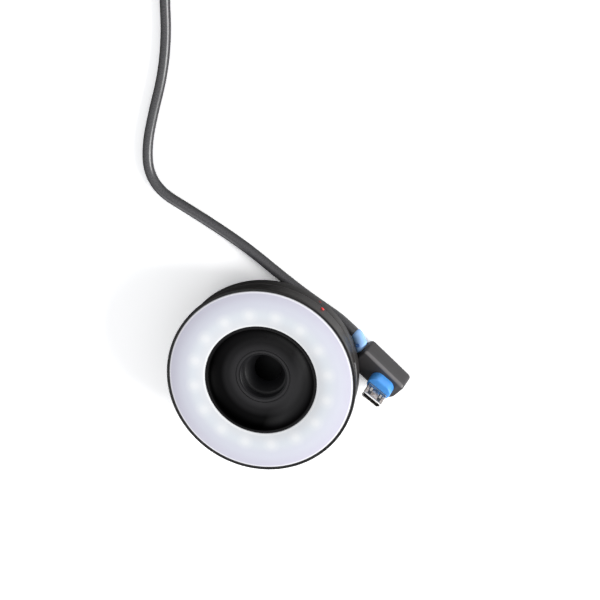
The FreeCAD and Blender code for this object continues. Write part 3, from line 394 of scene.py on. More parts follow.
# Painted shade: faces turned up, the bezel's front and its slopes, are darkened almost to black.
painted_light_by_facing(housing_finish, (0, 0, 1), 0.4, 1.0, (0.004, 0.004, 0.004))
shader = housing_finish.node_tree.nodes["Principled BSDF"]
shader.inputs["Specular IOR Level"].default_value = 0.4
cut_mesh.materials.clear()
finished(front_housing, housing_finish, "light", "housing_black", "front_housing")


# Index dots: two drops of red paint set in the plastic, a bright one on the
# housing and a dull, darker one on the lock ring. They meet when it is open.
def paint_dot(name, angle, height, radius, proud):
    """Round drop of paint on the wall, slightly proud of it."""
    shape = turned([(0.0, -0.2), (radius, -0.2), (radius, 0.0), (radius * 0.92, proud * 0.45),
                    (radius * 0.6, proud * 0.85), (0.0, proud)], steps=24)
    place = (Matrix.Rotation(math.radians(angle), 4, "Z")
             @ Matrix.Translation((wall_radius * mm, 0, height * mm))
             @ Matrix.Rotation(math.radians(90), 4, "Y"))
    return piece_from(shape, name, place)


front_dot_height = housing_low + 1.1
band_low = 8.5
band_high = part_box("lock_ring")[1].z / mm
rear_dot_height = (band_low + band_high) / 2
front_dot = paint_dot("front_dot_paint", 51.1, front_dot_height, 0.62, 0.28)
finished(front_dot, grained("red_paint", (0.80, 0.03, 0.028), 0.35, 3000.0, 0.00001, 0.1),
         "light", "index_red", "front_dot")
rear_dot = paint_dot("rear_dot_paint", 54.6, rear_dot_height, 0.52, 0.12)
finished(rear_dot, grained("dull_red_paint", (0.16, 0.018, 0.016), 0.5, 3000.0, 0.00001, 0.1),
         "lock", "index_dark_red", "rear_dot")

# Diffuser: a ring moulded in milky plastic, bevelled at both edges and seated
# in the bezel. The lamps behind it show as sixteen soft warm spots of painted glow.
hood_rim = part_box("inner_hood")[1].x / mm
diffuser_bore = hood_rim + seat_gap
edge_drop = 0.5
edge_slope = 0.16
diffuser_shape = turned([
    (diffuser_bore, diffuser_low), (diffuser_radius, diffuser_low),
    (diffuser_radius, front - edge_drop), (diffuser_radius - 0.18, front - edge_slope),
    (diffuser_radius - 0.5, front), (diffuser_bore + 0.62, front),
    (diffuser_bore + 0.2, front - edge_slope), (diffuser_bore, front - edge_drop),
], bevel=0.08)
diffuser = piece_from(diffuser_shape, "milky_diffuser")
lamp_count = 16
lamp_circle = 22.0 * mm
first_lamp = math.radians(9.0)
glow_reach = 3.3 * mm


def lamp_distance(tree, place, radius, count, first):
    """Nodes for the distance from a point to the nearest of a ring of lamps."""
    parts = tree.nodes.new("ShaderNodeSeparateXYZ")
    tree.links.new(place, parts.inputs["Vector"])

    def sum_of(operation, left, right=None):
        node = tree.nodes.new("ShaderNodeMath")
        node.operation = operation
        for socket, value in zip(node.inputs, (left, right)):
            if value is None:
                continue
            if isinstance(value, float):
                socket.default_value = value
            else:
                tree.links.new(value, socket)
        return node.outputs["Value"]

    step = math.tau / count
    bearing = sum_of("ARCTAN2", parts.outputs["Y"], parts.outputs["X"])
    counted = sum_of("DIVIDE", sum_of("SUBTRACT", bearing, first), step)
    near = sum_of("MULTIPLY", sum_of("SUBTRACT", counted, sum_of("ROUND", counted)), step)
    across = sum_of("MULTIPLY", near, radius)
    squared = sum_of("ADD", sum_of("POWER", parts.outputs["X"], 2.0),
                     sum_of("POWER", parts.outputs["Y"], 2.0))
    from_axis = sum_of("SQRT", squared)
    outward = sum_of("SUBTRACT", from_axis, radius)
    away = sum_of("SQRT", sum_of("ADD", sum_of("MULTIPLY", across, across),
                                 sum_of("MULTIPLY", outward, outward)))
    return away, from_axis


milk, tree, shader = material_with("milky_plastic", (0.72, 0.72, 0.79), 0.32)
place = tree.nodes.new("ShaderNodeTexCoord").outputs["Object"]
away, from_axis = lamp_distance(tree, place, lamp_circle, lamp_count, first_lamp)
# Painted highlights: lighter bands at the inner and outer edges of the ring, over its lilac tint.
tint_and_edge_highlights = stops(tree, from_axis, diffuser_bore * mm, diffuser_radius * mm,
               (0.0, (0.82, 0.83, 0.84)), (0.045, (0.68, 0.69, 0.70)),
               (0.09, (0.61, 0.625, 0.65)), (0.35, (0.62, 0.65, 0.69)),
               (0.62, (0.588, 0.60, 0.67)), (0.93, (0.548, 0.54, 0.625)),
               (0.97, (0.75, 0.745, 0.79)), (1.0, (0.84, 0.84, 0.86)))
# Painted glow: sixteen lighter warm spots over the lamps behind the diffuser.
glow = stops(tree, away, 0.0, glow_reach, (0.0, (0.33, 0.33, 0.33)),
             (0.25, (0.27, 0.27, 0.27)), (0.6, (0.1, 0.1, 0.1)), (1.0, (0.0, 0.0, 0.0)))
blend = tree.nodes.new("ShaderNodeMix")
blend.data_type = "RGBA"
blend.inputs["B"].default_value = (0.93, 0.905, 0.875, 1.0)
tree.links.new(glow, blend.inputs["Factor"])
tree.links.new(tint_and_edge_highlights, blend.inputs["A"])
tree.links.new(blend.outputs["Result"], shader.inputs["Base Color"])
shader.inputs["Subsurface Weight"].default_value = 0.15
shader.inputs["Subsurface Radius"].default_value = (0.001, 0.001, 0.001)
milk_grain = tree.nodes.new("ShaderNodeTexNoise")
milk_grain.inputs["Scale"].default_value = 2600.0
milk_bump = tree.nodes.new("ShaderNodeBump")
milk_bump.inputs["Strength"].default_value = 0.15
milk_bump.inputs["Distance"].default_value = 0.00002
tree.links.new(place, milk_grain.inputs["Vector"])
tree.links.new(milk_grain.outputs["Fac"], milk_bump.inputs["Height"])
tree.links.new(milk_bump.outputs["Normal"], shader.inputs["Normal"])
finished(diffuser, milk, "light", "diffuser_white", "diffuser")

# Inner hood: a dish moulded in matt black plastic inside the ring of light. It
# falls in a bowl to a flat floor, with a thin groove round the threaded hub.
hood_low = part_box("inner_hood")[0].z / mm
hood_wall = 0.9
hood_bore = hood_rim - hood_wall
rim_drop = 0.1
bowl_depth = 3.8
hood_floor = front - bowl_depth
under_floor = hood_floor - hood_wall
sleeve_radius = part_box("threaded_sleeve")[1].x / mm
hub_radius = 9.2
groove_radius = 9.02
groove_width = 0.34
groove_floor = hood_floor - 0.35
groove_slope = 0.03
bowl_foot = groove_radius + 0.5
bowl_top = front - 0.5
bowl_steps = 12
bowl = []
for step in range(bowl_steps + 1):
    bend = math.radians(90 * step / bowl_steps)
    bowl.append((bowl_foot + (hood_bore - bowl_foot) * math.cos(bend),
                 bowl_top - (bowl_top - hood_floor) * math.sin(bend)))
hood_shape = turned([
    (hood_bore, hood_low), (hood_rim, hood_low), (hood_rim, front - rim_drop),
    (hood_bore + 0.45, front - rim_drop), (hood_bore + 0.12, front - 2 * rim_drop), *bowl,
    (groove_radius, hood_floor), (groove_radius - groove_slope, groove_floor),
    (groove_radius - groove_width + groove_slope, groove_floor),
    (groove_radius - groove_width, hood_floor), (sleeve_radius, hood_floor),
    (sleeve_radius, hood_low), (hub_radius, hood_low), (hub_radius, under_floor),
    (9.6, under_floor), (bowl[4][0], bowl[4][1] - hood_wall), (hood_bore, bowl[2][1] - 1.0),
], bevel=0.03)
inner_hood = piece_from(hood_shape, "black_hood")
hood_finish = grained("hood_plastic", (0.0085, 0.0078, 0.0092), 0.42, 4200.0, 0.00002, 0.15)
tree = hood_finish.node_tree
shader = tree.nodes["Principled BSDF"]
place = tree.nodes.new("ShaderNodeTexCoord").outputs["Object"]
flat_place = tree.nodes.new("ShaderNodeVectorMath")
flat_place.operation = "MULTIPLY"
flat_place.inputs[1].default_value = (1.0, 1.0, 0.0)
tree.links.new(place, flat_place.inputs[0])
from_middle = tree.nodes.new("ShaderNodeVectorMath")
from_middle.operation = "LENGTH"
tree.links.new(flat_place.outputs["Vector"], from_middle.inputs[0])
# Painted shade and sheen: the hood's colour and specular level fade from the hub towards the rim,
# darkest on the -x, -y side, lighter towards +x, with a lighter line at the rim itself.
shade_start = 8.0 * mm
shade_near_side = stops(tree, from_middle.outputs["Value"], shade_start, hood_rim * mm,
                  (0.0, (1.0, 1.0, 1.0)), (0.15, (0.9, 0.9, 0.9)), (0.38, (0.46, 0.46, 0.46)),
                  (0.6, (0.1, 0.1, 0.1)), (0.88, (0.01, 0.01, 0.01)), (0.97, (0.35, 0.35, 0.35)))
shade_far_side = stops(tree, from_middle.outputs["Value"], shade_start, hood_rim * mm,
                 (0.0, (1.0, 1.0, 1.0)), (0.15, (0.7, 0.7, 0.7)), (0.38, (0.34, 0.34, 0.34)),
                 (0.6, (0.18, 0.18, 0.18)), (0.88, (0.12, 0.12, 0.12)), (0.97, (0.4, 0.4, 0.4)))
shade_right_side = stops(tree, from_middle.outputs["Value"], shade_start, hood_rim * mm,
                   (0.0, (1.0, 1.0, 1.0)), (0.15, (1.0, 1.0, 1.0)), (0.38, (0.9, 0.9, 0.9)),
                   (0.6, (0.6, 0.6, 0.6)), (0.88, (0.25, 0.25, 0.25)), (0.97, (0.4, 0.4, 0.4)))


def towards(tree, place, heading, low, high, here, there):
    """Mix of two colours from one side of a piece to the other, for painted light and shade."""
    along = tree.nodes.new("ShaderNodeVectorMath")
    along.operation = "DOT_PRODUCT"
    along.inputs[1].default_value = heading
    tree.links.new(place, along.inputs[0])
    side = tree.nodes.new("ShaderNodeMapRange")
    side.inputs["From Min"].default_value = low
    side.inputs["From Max"].default_value = high
    tree.links.new(along.outputs["Value"], side.inputs["Value"])
    mix = tree.nodes.new("ShaderNodeMix")
    mix.data_type = "RGBA"
    tree.links.new(side.outputs["Result"], mix.inputs["Factor"])
    tree.links.new(here, mix.inputs["A"])
    tree.links.new(there, mix.inputs["B"])
    return mix.outputs["Result"]


painted_sheen_and_shade = towards(tree, place, (0.6, 0.8, 0.0), -6.0 * mm, 6.0 * mm, shade_near_side, shade_far_side)
painted_sheen_and_shade = towards(tree, place, (0.93, -0.37, 0.0), 6.0 * mm, 11.0 * mm, painted_sheen_and_shade, shade_right_side)
painted_shade_mix = tree.nodes.new("ShaderNodeMix")
painted_shade_mix.data_type = "RGBA"
painted_shade_mix.blend_type = "MULTIPLY"
painted_shade_mix.inputs["Factor"].default_value = 1.0
tree.links.new(shader.inputs["Base Color"].links[0].from_socket, painted_shade_mix.inputs["A"])
tree.links.new(painted_sheen_and_shade, painted_shade_mix.inputs["B"])
tree.links.new(painted_shade_mix.outputs["Result"], shader.inputs["Base Color"])
painted_sheen_level = tree.nodes.new("ShaderNodeMath")
painted_sheen_level.operation = "MULTIPLY"
painted_sheen_level.inputs[1].default_value = 0.5
tree.links.new(painted_sheen_and_shade, painted_sheen_level.inputs[0])
tree.links.new(painted_sheen_level.outputs["Value"], shader.inputs["Specular IOR Level"])
finished(inner_hood, hood_finish, "light", "hood_black", "inner_hood")

# Threaded sleeve: a turned metal sleeve, anodised black and pressed into the
# hub, with a flat top and a fine thread cut inside it.
sleeve_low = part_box("threaded_sleeve")[0].z / mm
sleeve_bore = 7.3
sleeve_top = hood_floor - 0.02
sleeve_slope = 0.18
sleeve_wall = sleeve_radius - 0.01
thread_pitch = 0.75
thread_depth = 0.25
thread_flank = 0.26
sleeve_outline = [(sleeve_wall, sleeve_low), (sleeve_wall, sleeve_top),
                  (sleeve_bore + sleeve_slope, sleeve_top),
                  (sleeve_bore, sleeve_top - sleeve_slope)]
for thread in range(4):
    crest = hood_floor - thread_pitch * (thread + 0.3)
    sleeve_outline += [(sleeve_bore, crest), (sleeve_bore + thread_depth, crest - thread_flank),
                       (sleeve_bore, crest - 2 * thread_flank)]
sleeve_outline.append((sleeve_bore, sleeve_low))
sleeve = piece_from(turned(sleeve_outline, bevel=0.03), "thread_sleeve")
sleeve_finish = grained("black_anodised", (0.006, 0.006, 0.007), 0.5, 5200.0, 0.00001, 0.1)
shader = sleeve_finish.node_tree.nodes["Principled BSDF"]
shader.inputs["Specular IOR Level"].default_value = 0.2
finished(sleeve, sleeve_finish, "light", "sleeve_black", "threaded_sleeve")

# Sight stop: a funnel moulded in black plastic, seated in the rear plate under
# the sleeve. The lens looks out through its small hole.
stop_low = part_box("stop_cone")[0].z / mm
stop_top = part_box("stop_cone")[1].z / mm
stop_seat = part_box("rear_plate")[0].z / mm
stop_mouth = 6.6
stop_neck = 7.4
stop_foot = 6.1
sight_hole = 4.5
sight_lip = 0.6
stop_shape = turned([
    (stop_mouth, stop_top), (hub_radius, stop_top), (hub_radius, stop_seat),
    (stop_neck, stop_seat), (stop_foot, stop_low), (sight_hole, stop_low),
    (sight_hole, stop_low + sight_lip),
], bevel=0.06)
stop_cone = piece_from(stop_shape, "sight_stop")
stop_finish = grained("stop_plastic", (0.006, 0.006, 0.007), 0.45, 4200.0, 0.00002, 0.1)
finished(stop_cone, stop_finish, "light", "stop_black", "stop_cone")

# Rear lock ring: the narrow turning band behind the housing with the collar
# that stands round the lens, moulded in the same black plastic.
band_bore = wall_radius - 1.6
collar_bore = 21.9
collar_radius = 23.5
shoulder_radius = 23.4
web_top = band_low + 1.0
shoulder_top = band_low + 2.2
lock_shape = turned([
    (collar_bore, 0.0), (collar_radius, 0.0), (collar_radius, band_low),
    (wall_radius, band_low), (wall_radius, band_high), (band_bore, band_high),
    (band_bore, web_top), (shoulder_radius, web_top), (shoulder_radius, shoulder_top),
    (collar_bore, shoulder_top),
], bevel=0.14)
lock_ring = piece_from(lock_shape, "rear_lock_ring")
lock_finish = grained("lock_ring_plastic", (0.024, 0.0222, 0.0213), 0.42, 5200.0, 0.00002, 0.2)
finished(lock_ring, lock_finish, "lock", "lock_ring_black", "lock_ring")

# Small angled plug: a soft grey grip with a bright blue collar, a steel
# shell with two latch hooks, and a pale blue tapered sleeve on the cable.
plug_roll = math.radians(18.0)
plug_turn = math.radians(-37.76)
grip_turn = math.radians(-42.76)
plug_length = 17.7
free_end = 8.6
plug_width = 9.0
plug_depth = 7.2
plug_edge = 1.0
floor_gap = 0.03
plug_rest = ((plug_width / 2 - plug_edge) * math.sin(plug_roll)
             + (plug_depth - plug_edge) * math.cos(plug_roll) + plug_edge + floor_gap)
plug_stand = Matrix.Translation(Vector((35.4, -0.65, plug_rest)) * mm)
plug_lean = Matrix.Rotation(plug_roll, 4, "X")
plug_place = plug_stand @ Matrix.Rotation(plug_turn, 4, "Z") @ plug_lean
grip_place = plug_stand @ Matrix.Rotation(grip_turn, 4, "Z") @ plug_lean


def block(length, width, height, low_corner):
    """bmesh box in mm from its lowest corner."""
    shape = bmesh.new()
    bmesh.ops.create_cube(shape, size=1.0)
    bmesh.ops.scale(shape, vec=(length * mm, width * mm, height * mm), verts=shape.verts)
    middle = Vector(low_corner) + Vector((length, width, height)) / 2
    bmesh.ops.translate(shape, vec=middle * mm, verts=shape.verts)
    return shape


def edges_where(shape, axis, test):
    """Edges along one axis whose middle passes a test."""
    found = []
    for edge in shape.edges:
        span = edge.verts[1].co - edge.verts[0].co
        if abs(span[axis]) > 0.9 * span.length > 0:
            if test((edge.verts[0].co + edge.verts[1].co) / 2):
                found.append(edge)
    return found


def round_edges(shape, edges, radius, segments):
    """Rounds the given edges of a bmesh; radius in mm."""
    bmesh.ops.bevel(shape, geom=edges, offset=radius * mm, offset_type="OFFSET",
                    affect="EDGES", segments=segments, profile=0.5, material=-1)


grip_shape = block(plug_length, plug_width, plug_depth,
                   (free_end - plug_length, -plug_width / 2, -plug_depth))
upright_edges = edges_where(grip_shape, 2, lambda at: at.x > 0 and at.y < 0)
round_edges(grip_shape, upright_edges, 3.6, 14)
upright_edges = edges_where(grip_shape, 2, lambda at: at.x * at.y > 0)
round_edges(grip_shape, upright_edges, 1.3, 8)
upright_edges = edges_where(grip_shape, 2, lambda at: at.x < 0 and at.y > 4.4 * mm)
round_edges(grip_shape, upright_edges, 1.3, 8)
soften(grip_shape, 0.95 * mm, 6, 60.0,
       lambda edge: abs(edge.verts[0].co.z - edge.verts[1].co.z) < 0.001 * mm)
grip = piece_from(grip_shape, "plug_grip", grip_place)
grip_finish = grained("grip_plastic", (0.030, 0.028, 0.029), 0.46, 3800.0, 0.00004, 0.12)
# Painted highlight: faces turned towards the ridge between the grip's top and its side are
# lighter grey.
ridge_highlight_way = (grip_place.to_3x3() @ Vector((0, 1, 1))).normalized()
painted_light_by_facing(grip_finish, ridge_highlight_way, 0.72, 1.0, (0.125, 0.12, 0.122))
finished(grip, grip_finish, "light", "plug_grey", "small_plug_body")

collar_offset = 2.6
collar_shift = -0.5
collar_length = 8.5
collar_width = 5.6
collar_height = 3.7
collar_sunk = 0.8
collar_shape = block(collar_length, collar_width, collar_height + collar_sunk,
                     (collar_offset - collar_length / 2, collar_shift - collar_width / 2,
                      -collar_sunk))
upright_edges = edges_where(collar_shape, 2, lambda at: True)
round_edges(collar_shape, upright_edges, collar_width / 2 - 0.02, 14)
soften(collar_shape, 0.4 * mm, 4, 60.0,
       lambda edge: min(end.co.z for end in edge.verts) > (collar_height - 0.1) * mm)
collar = piece_from(collar_shape, "plug_collar", plug_place)
collar_finish = grained("blue_plastic", (0.065, 0.29, 0.72), 0.3, 3000.0, 0.00001, 0.06)
finished(collar, collar_finish, "light", "collar_blue", "small_plug_collar")

shell_length = 6.85
shell_width = 1.9
shell_bevel = 0.65
shell_reach = 9.2
shell_wall = 0.25
shell_shift = -1.2


def rounded(bends, corner):
    """Outline with each of its corners replaced by a short curve."""
    bends = [Vector(at) for at in bends]
    outline = []
    for before, bend, after in zip(bends[-1:] + bends[:-1], bends, bends[1:] + bends[:1]):
        start = bend + (before - bend).normalized() * corner
        end = bend + (after - bend).normalized() * corner
        for share in (0.0, 0.25, 0.5, 0.75, 1.0):
            left = 1 - share
            outline.append(start * left ** 2 + bend * 2 * share * left + end * share ** 2)
    return outline


def shell_outline(inset, corner):
    """Mouth of the small plug: a bar with two slanted corners, every corner rounded."""
    half = shell_length / 2 - inset
    low = -shell_width / 2 + inset
    slant = shell_bevel - inset / 2
    return rounded([(-half, low + slant), (-half + slant, low), (half - slant, low),
                    (half, low + slant), (half, -low), (-half, -low)], corner)


def band_through(name, outlines, place, floor_inside=False):
    """Piece through outlines in mm with equally many corners: a closed band, or a
    cup with its foot at the first outline and its floor at the last. The faces
    follow the corners' order, as bridging twists outlines that lie in one plane."""
    shape = bmesh.new()
    rings = [[shape.verts.new(at * mm) for at in outline] for outline in outlines]
    pairs = list(zip(rings, rings[1:]))
    if floor_inside:
        shape.faces.new(rings[0])
        shape.faces.new(rings[-1])
    else:
        pairs.append((rings[-1], rings[0]))
    for below, above in pairs:
        for here in range(len(below)):
            after = (here + 1) % len(below)
            shape.faces.new((below[here], below[after], above[after], above[here]))
    return piece_from(shape, name, place)


def sheet_tube(name, sections, floor_inside=False):
    """Band or cup through (inset, height) sections of the mouth."""
    outlines = [[Vector((at.x + collar_offset, at.y + shell_shift, height))
                 for at in shell_outline(inset, max(0.3 - inset, 0.08))]
                for inset, height in sections]
    return band_through(name, outlines, plug_place, floor_inside)


shell_lip = shell_reach - 0.02
shell_floor = 0.6
steel = sheet_tube("plug_shell", [
    (0.0, 0.0), (0.0, shell_lip), (shell_wall, shell_lip), (shell_wall, shell_floor),
], floor_inside=True)
rim_low = shell_reach - 0.65
rim_roll = shell_reach - 0.12
mouth_rim = sheet_tube("plug_mouth_rim", [
    (0.05, rim_low), (-0.05, shell_reach - 0.45), (-0.12, rim_roll), (-0.09, shell_reach),
    (shell_wall - 0.02, shell_reach), (shell_wall + 0.03, rim_roll), (shell_wall + 0.03, rim_low),
])
band_foot = collar_height - 0.3
band_head = collar_height + 0.7
neck_band = sheet_tube("plug_neck_band", [
    (0.1, band_foot), (-0.07, band_foot), (-0.07, band_head - 0.08), (-0.02, band_head),
    (0.1, band_head),
])
window_width = 1.25
window_height = 3.3
window_low = 5.25


def latch_window(name, across):
    """Dark rim of the window that a latch hook stands in, on the shell's flat side."""
    left = collar_offset + across - window_width / 2
    sunk = shell_shift + shell_width / 2 - 0.035
    shape = block(window_width, 0.06, window_height, (left, sunk, window_low))
    return piece_from(shape, name, plug_place)


windows = [latch_window("latch_window_left", -1.85), latch_window("latch_window_right", 1.85)]


def brushed(name, colour, roughness, stretch, scale):
    """Drawn steel: fine streaks along one direction in gloss and bump."""
    finish, tree, shader = material_with(name, colour, roughness)
    shader.inputs["Metallic"].default_value = 1.0
    place = tree.nodes.new("ShaderNodeTexCoord")
    mapping = tree.nodes.new("ShaderNodeMapping")
    mapping.inputs["Scale"].default_value = stretch
    streaks = tree.nodes.new("ShaderNodeTexNoise")
    streaks.inputs["Scale"].default_value = scale
    streaks.inputs["Detail"].default_value = 5.0
    tree.links.new(place.outputs["Object"], mapping.inputs["Vector"])
    tree.links.new(mapping.outputs["Vector"], streaks.inputs["Vector"])
    gloss = tree.nodes.new("ShaderNodeMapRange")
    gloss.inputs["To Min"].default_value = roughness * 0.7
    gloss.inputs["To Max"].default_value = roughness * 1.4
    tree.links.new(streaks.outputs["Fac"], gloss.inputs["Value"])
    tree.links.new(gloss.outputs["Result"], shader.inputs["Roughness"])
    bump = tree.nodes.new("ShaderNodeBump")
    bump.inputs["Strength"].default_value = 0.2
    bump.inputs["Distance"].default_value = 0.00001
    tree.links.new(streaks.outputs["Fac"], bump.inputs["Height"])
    tree.links.new(bump.outputs["Normal"], shader.inputs["Normal"])
    return finish


steel_finish = brushed("plug_steel", (0.5, 0.49, 0.48), 0.28, (1.0, 1.0, 0.3), 1400.0)
# Painted reflections: darker brown blotches in the steel's colour stand in for reflections on the
# shell's sides.
steel_with_painted_reflections = brushed("steel_painted_reflections", (0.42, 0.38, 0.35), 0.26, (1.0, 1.0, 0.3), 1400.0)
tree = steel_with_painted_reflections.node_tree
reflection_blotches = tree.nodes.new("ShaderNodeTexNoise")
reflection_blotches.inputs["Scale"].default_value = 950.0
reflection_blotches.inputs["Detail"].default_value = 2.0
tree.links.new(tree.nodes.new("ShaderNodeTexCoord").outputs["Object"], reflection_blotches.inputs["Vector"])
tree.links.new(stops(tree, reflection_blotches.outputs["Fac"], 0.36, 0.64, (0.0, (0.24, 0.20, 0.18)),
                     (0.45, (0.36, 0.32, 0.30)), (1.0, (0.52, 0.48, 0.46))),
               tree.nodes["Principled BSDF"].inputs["Base Color"])
finished(steel, steel_with_painted_reflections, "light", "plug_steel", "small_plug_shell")
finished(mouth_rim, steel_finish, "light", "plug_steel")
finished(neck_band, steel_finish, "light", "plug_steel")
dark_plastic = grained("insert_plastic", (0.012, 0.012, 0.014), 0.5, 4000.0, 0.00002, 0.1)
for window in windows:
    finished(window, dark_plastic, "light", "insert_black")

# Sleeve of the small plug: soft pale blue rubber that tapers onto the cable,
# with a moulding dimple and a dark gap where it enters the grip, both in painted shade.
sleeve_base = grip_place @ (Vector((free_end - plug_length, 1.7, -3.5)) * mm)
sleeve_out = (grip_place.to_3x3() @ Vector((-1, 0, 0))).normalized()
sleeve_run = ((Vector(cable_run[1]) - Vector(cable_run[0])) * mm).normalized()
sleeve_cover = 0.7 * mm
sleeve_tip = Vector(cable_run[0]) * mm + sleeve_run * sleeve_cover


def bent_taper(name, base, out, tip, run, radii, squash, steps=40):
    """Tapered sleeve on a smooth bend from base to tip; radii in mm along it."""
    shape = bmesh.new()
    reach = (tip - base).length * 0.38
    rings = []
    for index, radius in enumerate(radii):
        share = index / (len(radii) - 1)
        left = 1 - share
        at = (base * left ** 3 + (base + out * reach) * 3 * left * left * share
              + (tip - run * reach) * 3 * left * share * share + tip * share ** 3)
        along = out.lerp(run, share).normalized()
        side = along.cross(Vector((0, 0, 1))).normalized()
        up = side.cross(along)
        flat = squash + (1 - squash) * share
        ring = bmesh.ops.create_circle(shape, cap_ends=False, radius=radius * mm, segments=steps)
        turn = Matrix((side, up * flat, along)).transposed().to_4x4()
        bmesh.ops.transform(shape, matrix=Matrix.Translation(at) @ turn, verts=ring["verts"])
        edges = list({edge for vert in ring["verts"] for edge in vert.link_edges
                      if edge.other_vert(vert) in ring["verts"]})
        if rings:
            bmesh.ops.bridge_loops(shape, edges=rings[-1] + edges)
        rings.append(edges)
    for loop in (rings[0], rings[-1]):
        bmesh.ops.contextual_create(shape, geom=loop)
    return piece_from(shape, name)


rubber_radii = [2.1, 2.12, 2.44, 2.5, 2.46, 2.42, 2.37, 2.33, 2.28, 2.24, 2.2, 2.15, 2.1,
                2.05, 2.0, 1.92, 1.7]
rubber = bent_taper("cable_sleeve", sleeve_base, sleeve_out, sleeve_tip, sleeve_run,
                    rubber_radii, 0.94)
rubber_finish = grained("pale_blue_rubber", (0.33, 0.56, 0.93), 0.5, 2600.0, 0.00002, 0.08)
finished(rubber, rubber_finish, "light", "relief_blue", "small_plug_relief")


def facing_place(at, way):
    """Matrix that stands a turned piece at a point, along a direction."""
    return Matrix.Translation(at) @ way.to_track_quat("Z", "Y").to_matrix().to_4x4()


# Painted shade: a dark ring round the sleeve's foot stands in for the shaded gap where it enters
# the grip.
gap_shape = turned([(0.0, -0.3), (2.62, -0.3), (2.62, 0.34), (0.0, 0.34)], steps=48)
gap_ring = piece_from(gap_shape, "sleeve_gap_ring", facing_place(sleeve_base, sleeve_out))
finished(gap_ring, dark_plastic, "light", "insert_black")
# Painted shade: the dimple is a ring of deep blue set in the sleeve's surface, in place of the
# shade in its hollow.
dimple_way = (camera_back - sleeve_out * camera_back.dot(sleeve_out)
              + Vector((-0.25, -0.1, 0.0))).normalized()
dimple_at = sleeve_base + sleeve_out * 2.1 * mm + dimple_way * 2.36 * mm
dimple_shape = turned([(0.26, -0.3), (0.56, -0.3), (0.56, 0.05), (0.46, 0.1), (0.36, 0.1),
                       (0.26, 0.05)], steps=32)
dimple = piece_from(dimple_shape, "sleeve_dimple", facing_place(dimple_at, dimple_way))
finished(dimple, grained("blue_rubber_dimple_shade", (0.01, 0.07, 0.25), 0.5, 2600.0, 0.00002, 0.08),
         "light", "relief_blue")

# Far plug: the large flat plug at the cable's other end, with the same grey
# grip and blue insert and two windows in its folded steel shell. It lies on
# the floor beside the coil.
far_low, far_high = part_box("far_plug_body")
far_size = (far_high - far_low) / mm
far_shape = block(far_size.x, far_size.y, far_size.z, far_low / mm)
round_edges(far_shape, edges_where(far_shape, 2, lambda at: True), 2.2, 8)
soften(far_shape, 1.5 * mm, 6, 60.0)
far_grip = piece_from(far_shape, "far_plug_grip")
finished(far_grip, grained("far_grip_plastic", (0.05, 0.047, 0.048), 0.42, 3800.0, 0.00004, 0.12),
         "light", "plug_grey", "far_plug_body")
cone_low, cone_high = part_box("far_plug_relief")
far_base = Vector((cone_high.x, (cone_low.y + cone_high.y) / 2, (cone_low.z + cone_high.z) / 2))
far_tip = Vector((cone_low.x, far_base.y, far_base.z))
far_out = Vector((-1, 0, 0))
far_sleeve = bent_taper("far_plug_sleeve", far_base, far_out, far_tip, far_out,
                        [2.9, 2.85, 2.78, 2.7, 2.62, 2.54, 2.46, 2.38, 2.3, 2.22, 2.1, 1.75], 1.0)
finished(far_sleeve, rubber_finish, "light", "relief_blue", "far_plug_relief")

far_steel_low, far_steel_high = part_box("far_plug_shell")
far_window_width = 2.2
for name, shift in (("far_window_left", -2.6), ("far_window_right", 2.6)):
    window_corner = (far_steel_low.x / mm + 5.0, far_base.y / mm + shift - far_window_width / 2,
                     far_steel_high.z / mm - 0.05)
    far_window = piece_from(block(2.4, far_window_width, 0.08, window_corner), name)
    finished(far_window, dark_plastic, "light", "insert_black")

# Strap: a thin woven hook-and-loop band closed round both layers of the coil.
# Its loose end lies on top of the loop.
strap_width = 6.0
strap_thickness = 0.5
strap_edge = strap_width / 2
strap_gap = 0.1
coil_bore = 12.55
strap_inner = math.sqrt(coil_bore ** 2 - strap_edge ** 2) - strap_gap
strap_outer = coil_radius + cable_diameter / mm / 2 + strap_gap
strap_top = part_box("cable_strap")[1].z / mm
strap_bevel = 0.12
strap_place = (Matrix.Translation(coil_middle * mm)
               @ Matrix.Rotation(math.radians(-60), 4, "Z"))


def strap_loop(grow, across, corner):
    """Strap's outline round the coil, at a place across its width."""
    low = strap_thickness - grow
    high = strap_top - strap_thickness + grow
    return [Vector((at.x, across, at.y)) for at in rounded(
        [(strap_inner - grow, low), (strap_outer + grow, low),
         (strap_outer + grow, high), (strap_inner - grow, high)], corner)]


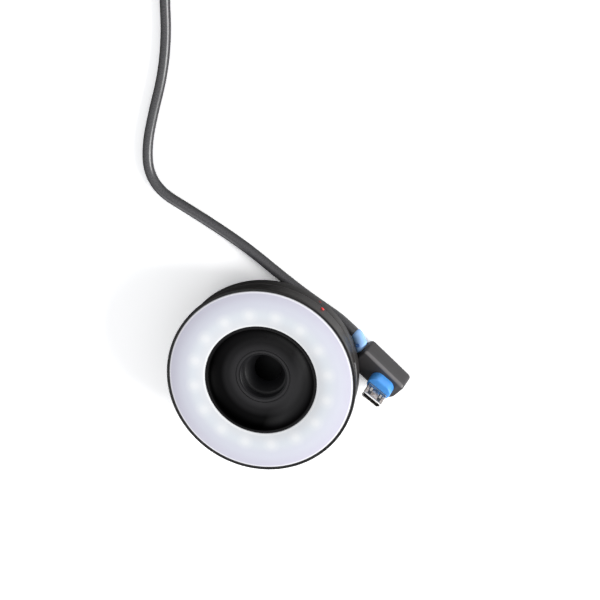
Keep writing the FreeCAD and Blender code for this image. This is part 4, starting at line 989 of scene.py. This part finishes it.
strap = band_through("strap", [
    strap_loop(strap_thickness - strap_bevel, -strap_edge, 1.5),
    strap_loop(strap_thickness, 0.1 - strap_edge, 1.6),
    strap_loop(strap_thickness, strap_edge - 0.1, 1.6),
    strap_loop(strap_thickness - strap_bevel, strap_edge, 1.5),
    strap_loop(strap_bevel, strap_edge, 1.2),
    strap_loop(0.0, strap_edge - 0.1, 1.1),
    strap_loop(0.0, 0.1 - strap_edge, 1.1),
    strap_loop(strap_bevel, -strap_edge, 1.2),
], strap_place)
strap_finish = grained("woven_strap", (0.03, 0.03, 0.033), 0.85, 1500.0, 0.00008, 0.3)
finished(strap, strap_finish, "light", "strap_black", "cable_strap")
tab_shape = block(9.0, strap_width - 0.5, strap_thickness,
                  (14.5, 0.25 - strap_edge, strap_top - 0.05))
round_edges(tab_shape, edges_where(tab_shape, 2, lambda at: True), 1.2, 6)
soften(tab_shape, 0.15 * mm, 2, 60.0)
strap_tab = piece_from(tab_shape, "strap_tab", strap_place)
finished(strap_tab, strap_finish, "light", "strap_black")

# Pieces that stay as they are built: board, lamps, screws, plates and the
# small metal parts. Each has the finish of its own stuff.
tin = brushed("socket_steel", (0.6, 0.6, 0.6), 0.3, (0.1, 1.0, 1.0), 2500.0)
gold = brushed("contact_gold", (0.75, 0.5, 0.16), 0.25, (0.2, 1.0, 1.0), 3000.0)
bright = brushed("pin_steel", (0.6, 0.6, 0.61), 0.3, (1.0, 1.0, 0.1), 2500.0)
kept_finishes = {
    "reflector_tray": grained("tray_white", (0.85, 0.85, 0.85), 0.5, 3000.0, 0.00002, 0.04),
    "led_board": grained("board_mask", (0.75, 0.77, 0.74), 0.35, 2500.0, 0.00001, 0.05),
    "led_chips": grained("lamp_phosphor", (0.9, 0.72, 0.2), 0.3, 3000.0, 0.00001, 0.06),
    "resistors": dark_plastic,
    "driver_chip": dark_plastic,
    "capacitor": tin,
    "socket_shell": tin,
    "socket_tongue": dark_plastic,
    "socket_contacts": gold,
    "rear_plate": grained("plate_plastic", (0.03, 0.03, 0.03), 0.55, 4500.0, 0.00003, 0.1),
    "collet_sleeve": grained("collet_plastic", (0.07, 0.07, 0.074), 0.42, 4500.0, 0.00002, 0.1),
    "stop_pins": bright,
    "retaining_wire": bright,
    "friction_washer": grained("washer_plastic", (0.8, 0.8, 0.78), 0.3, 3000.0, 0.00001, 0.04),
    "rear_screws": bright,
    "board_screws": bright,
    "small_plug_hooks": steel_finish,
    "small_plug_insert": dark_plastic,
    "far_plug_shell": steel_finish,
    "far_plug_tongue": collar_finish,
    "far_plug_contacts": gold,
}
for node, finish in kept_finishes.items():
    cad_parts[node].data.materials.clear()
    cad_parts[node].data.materials.append(finish)
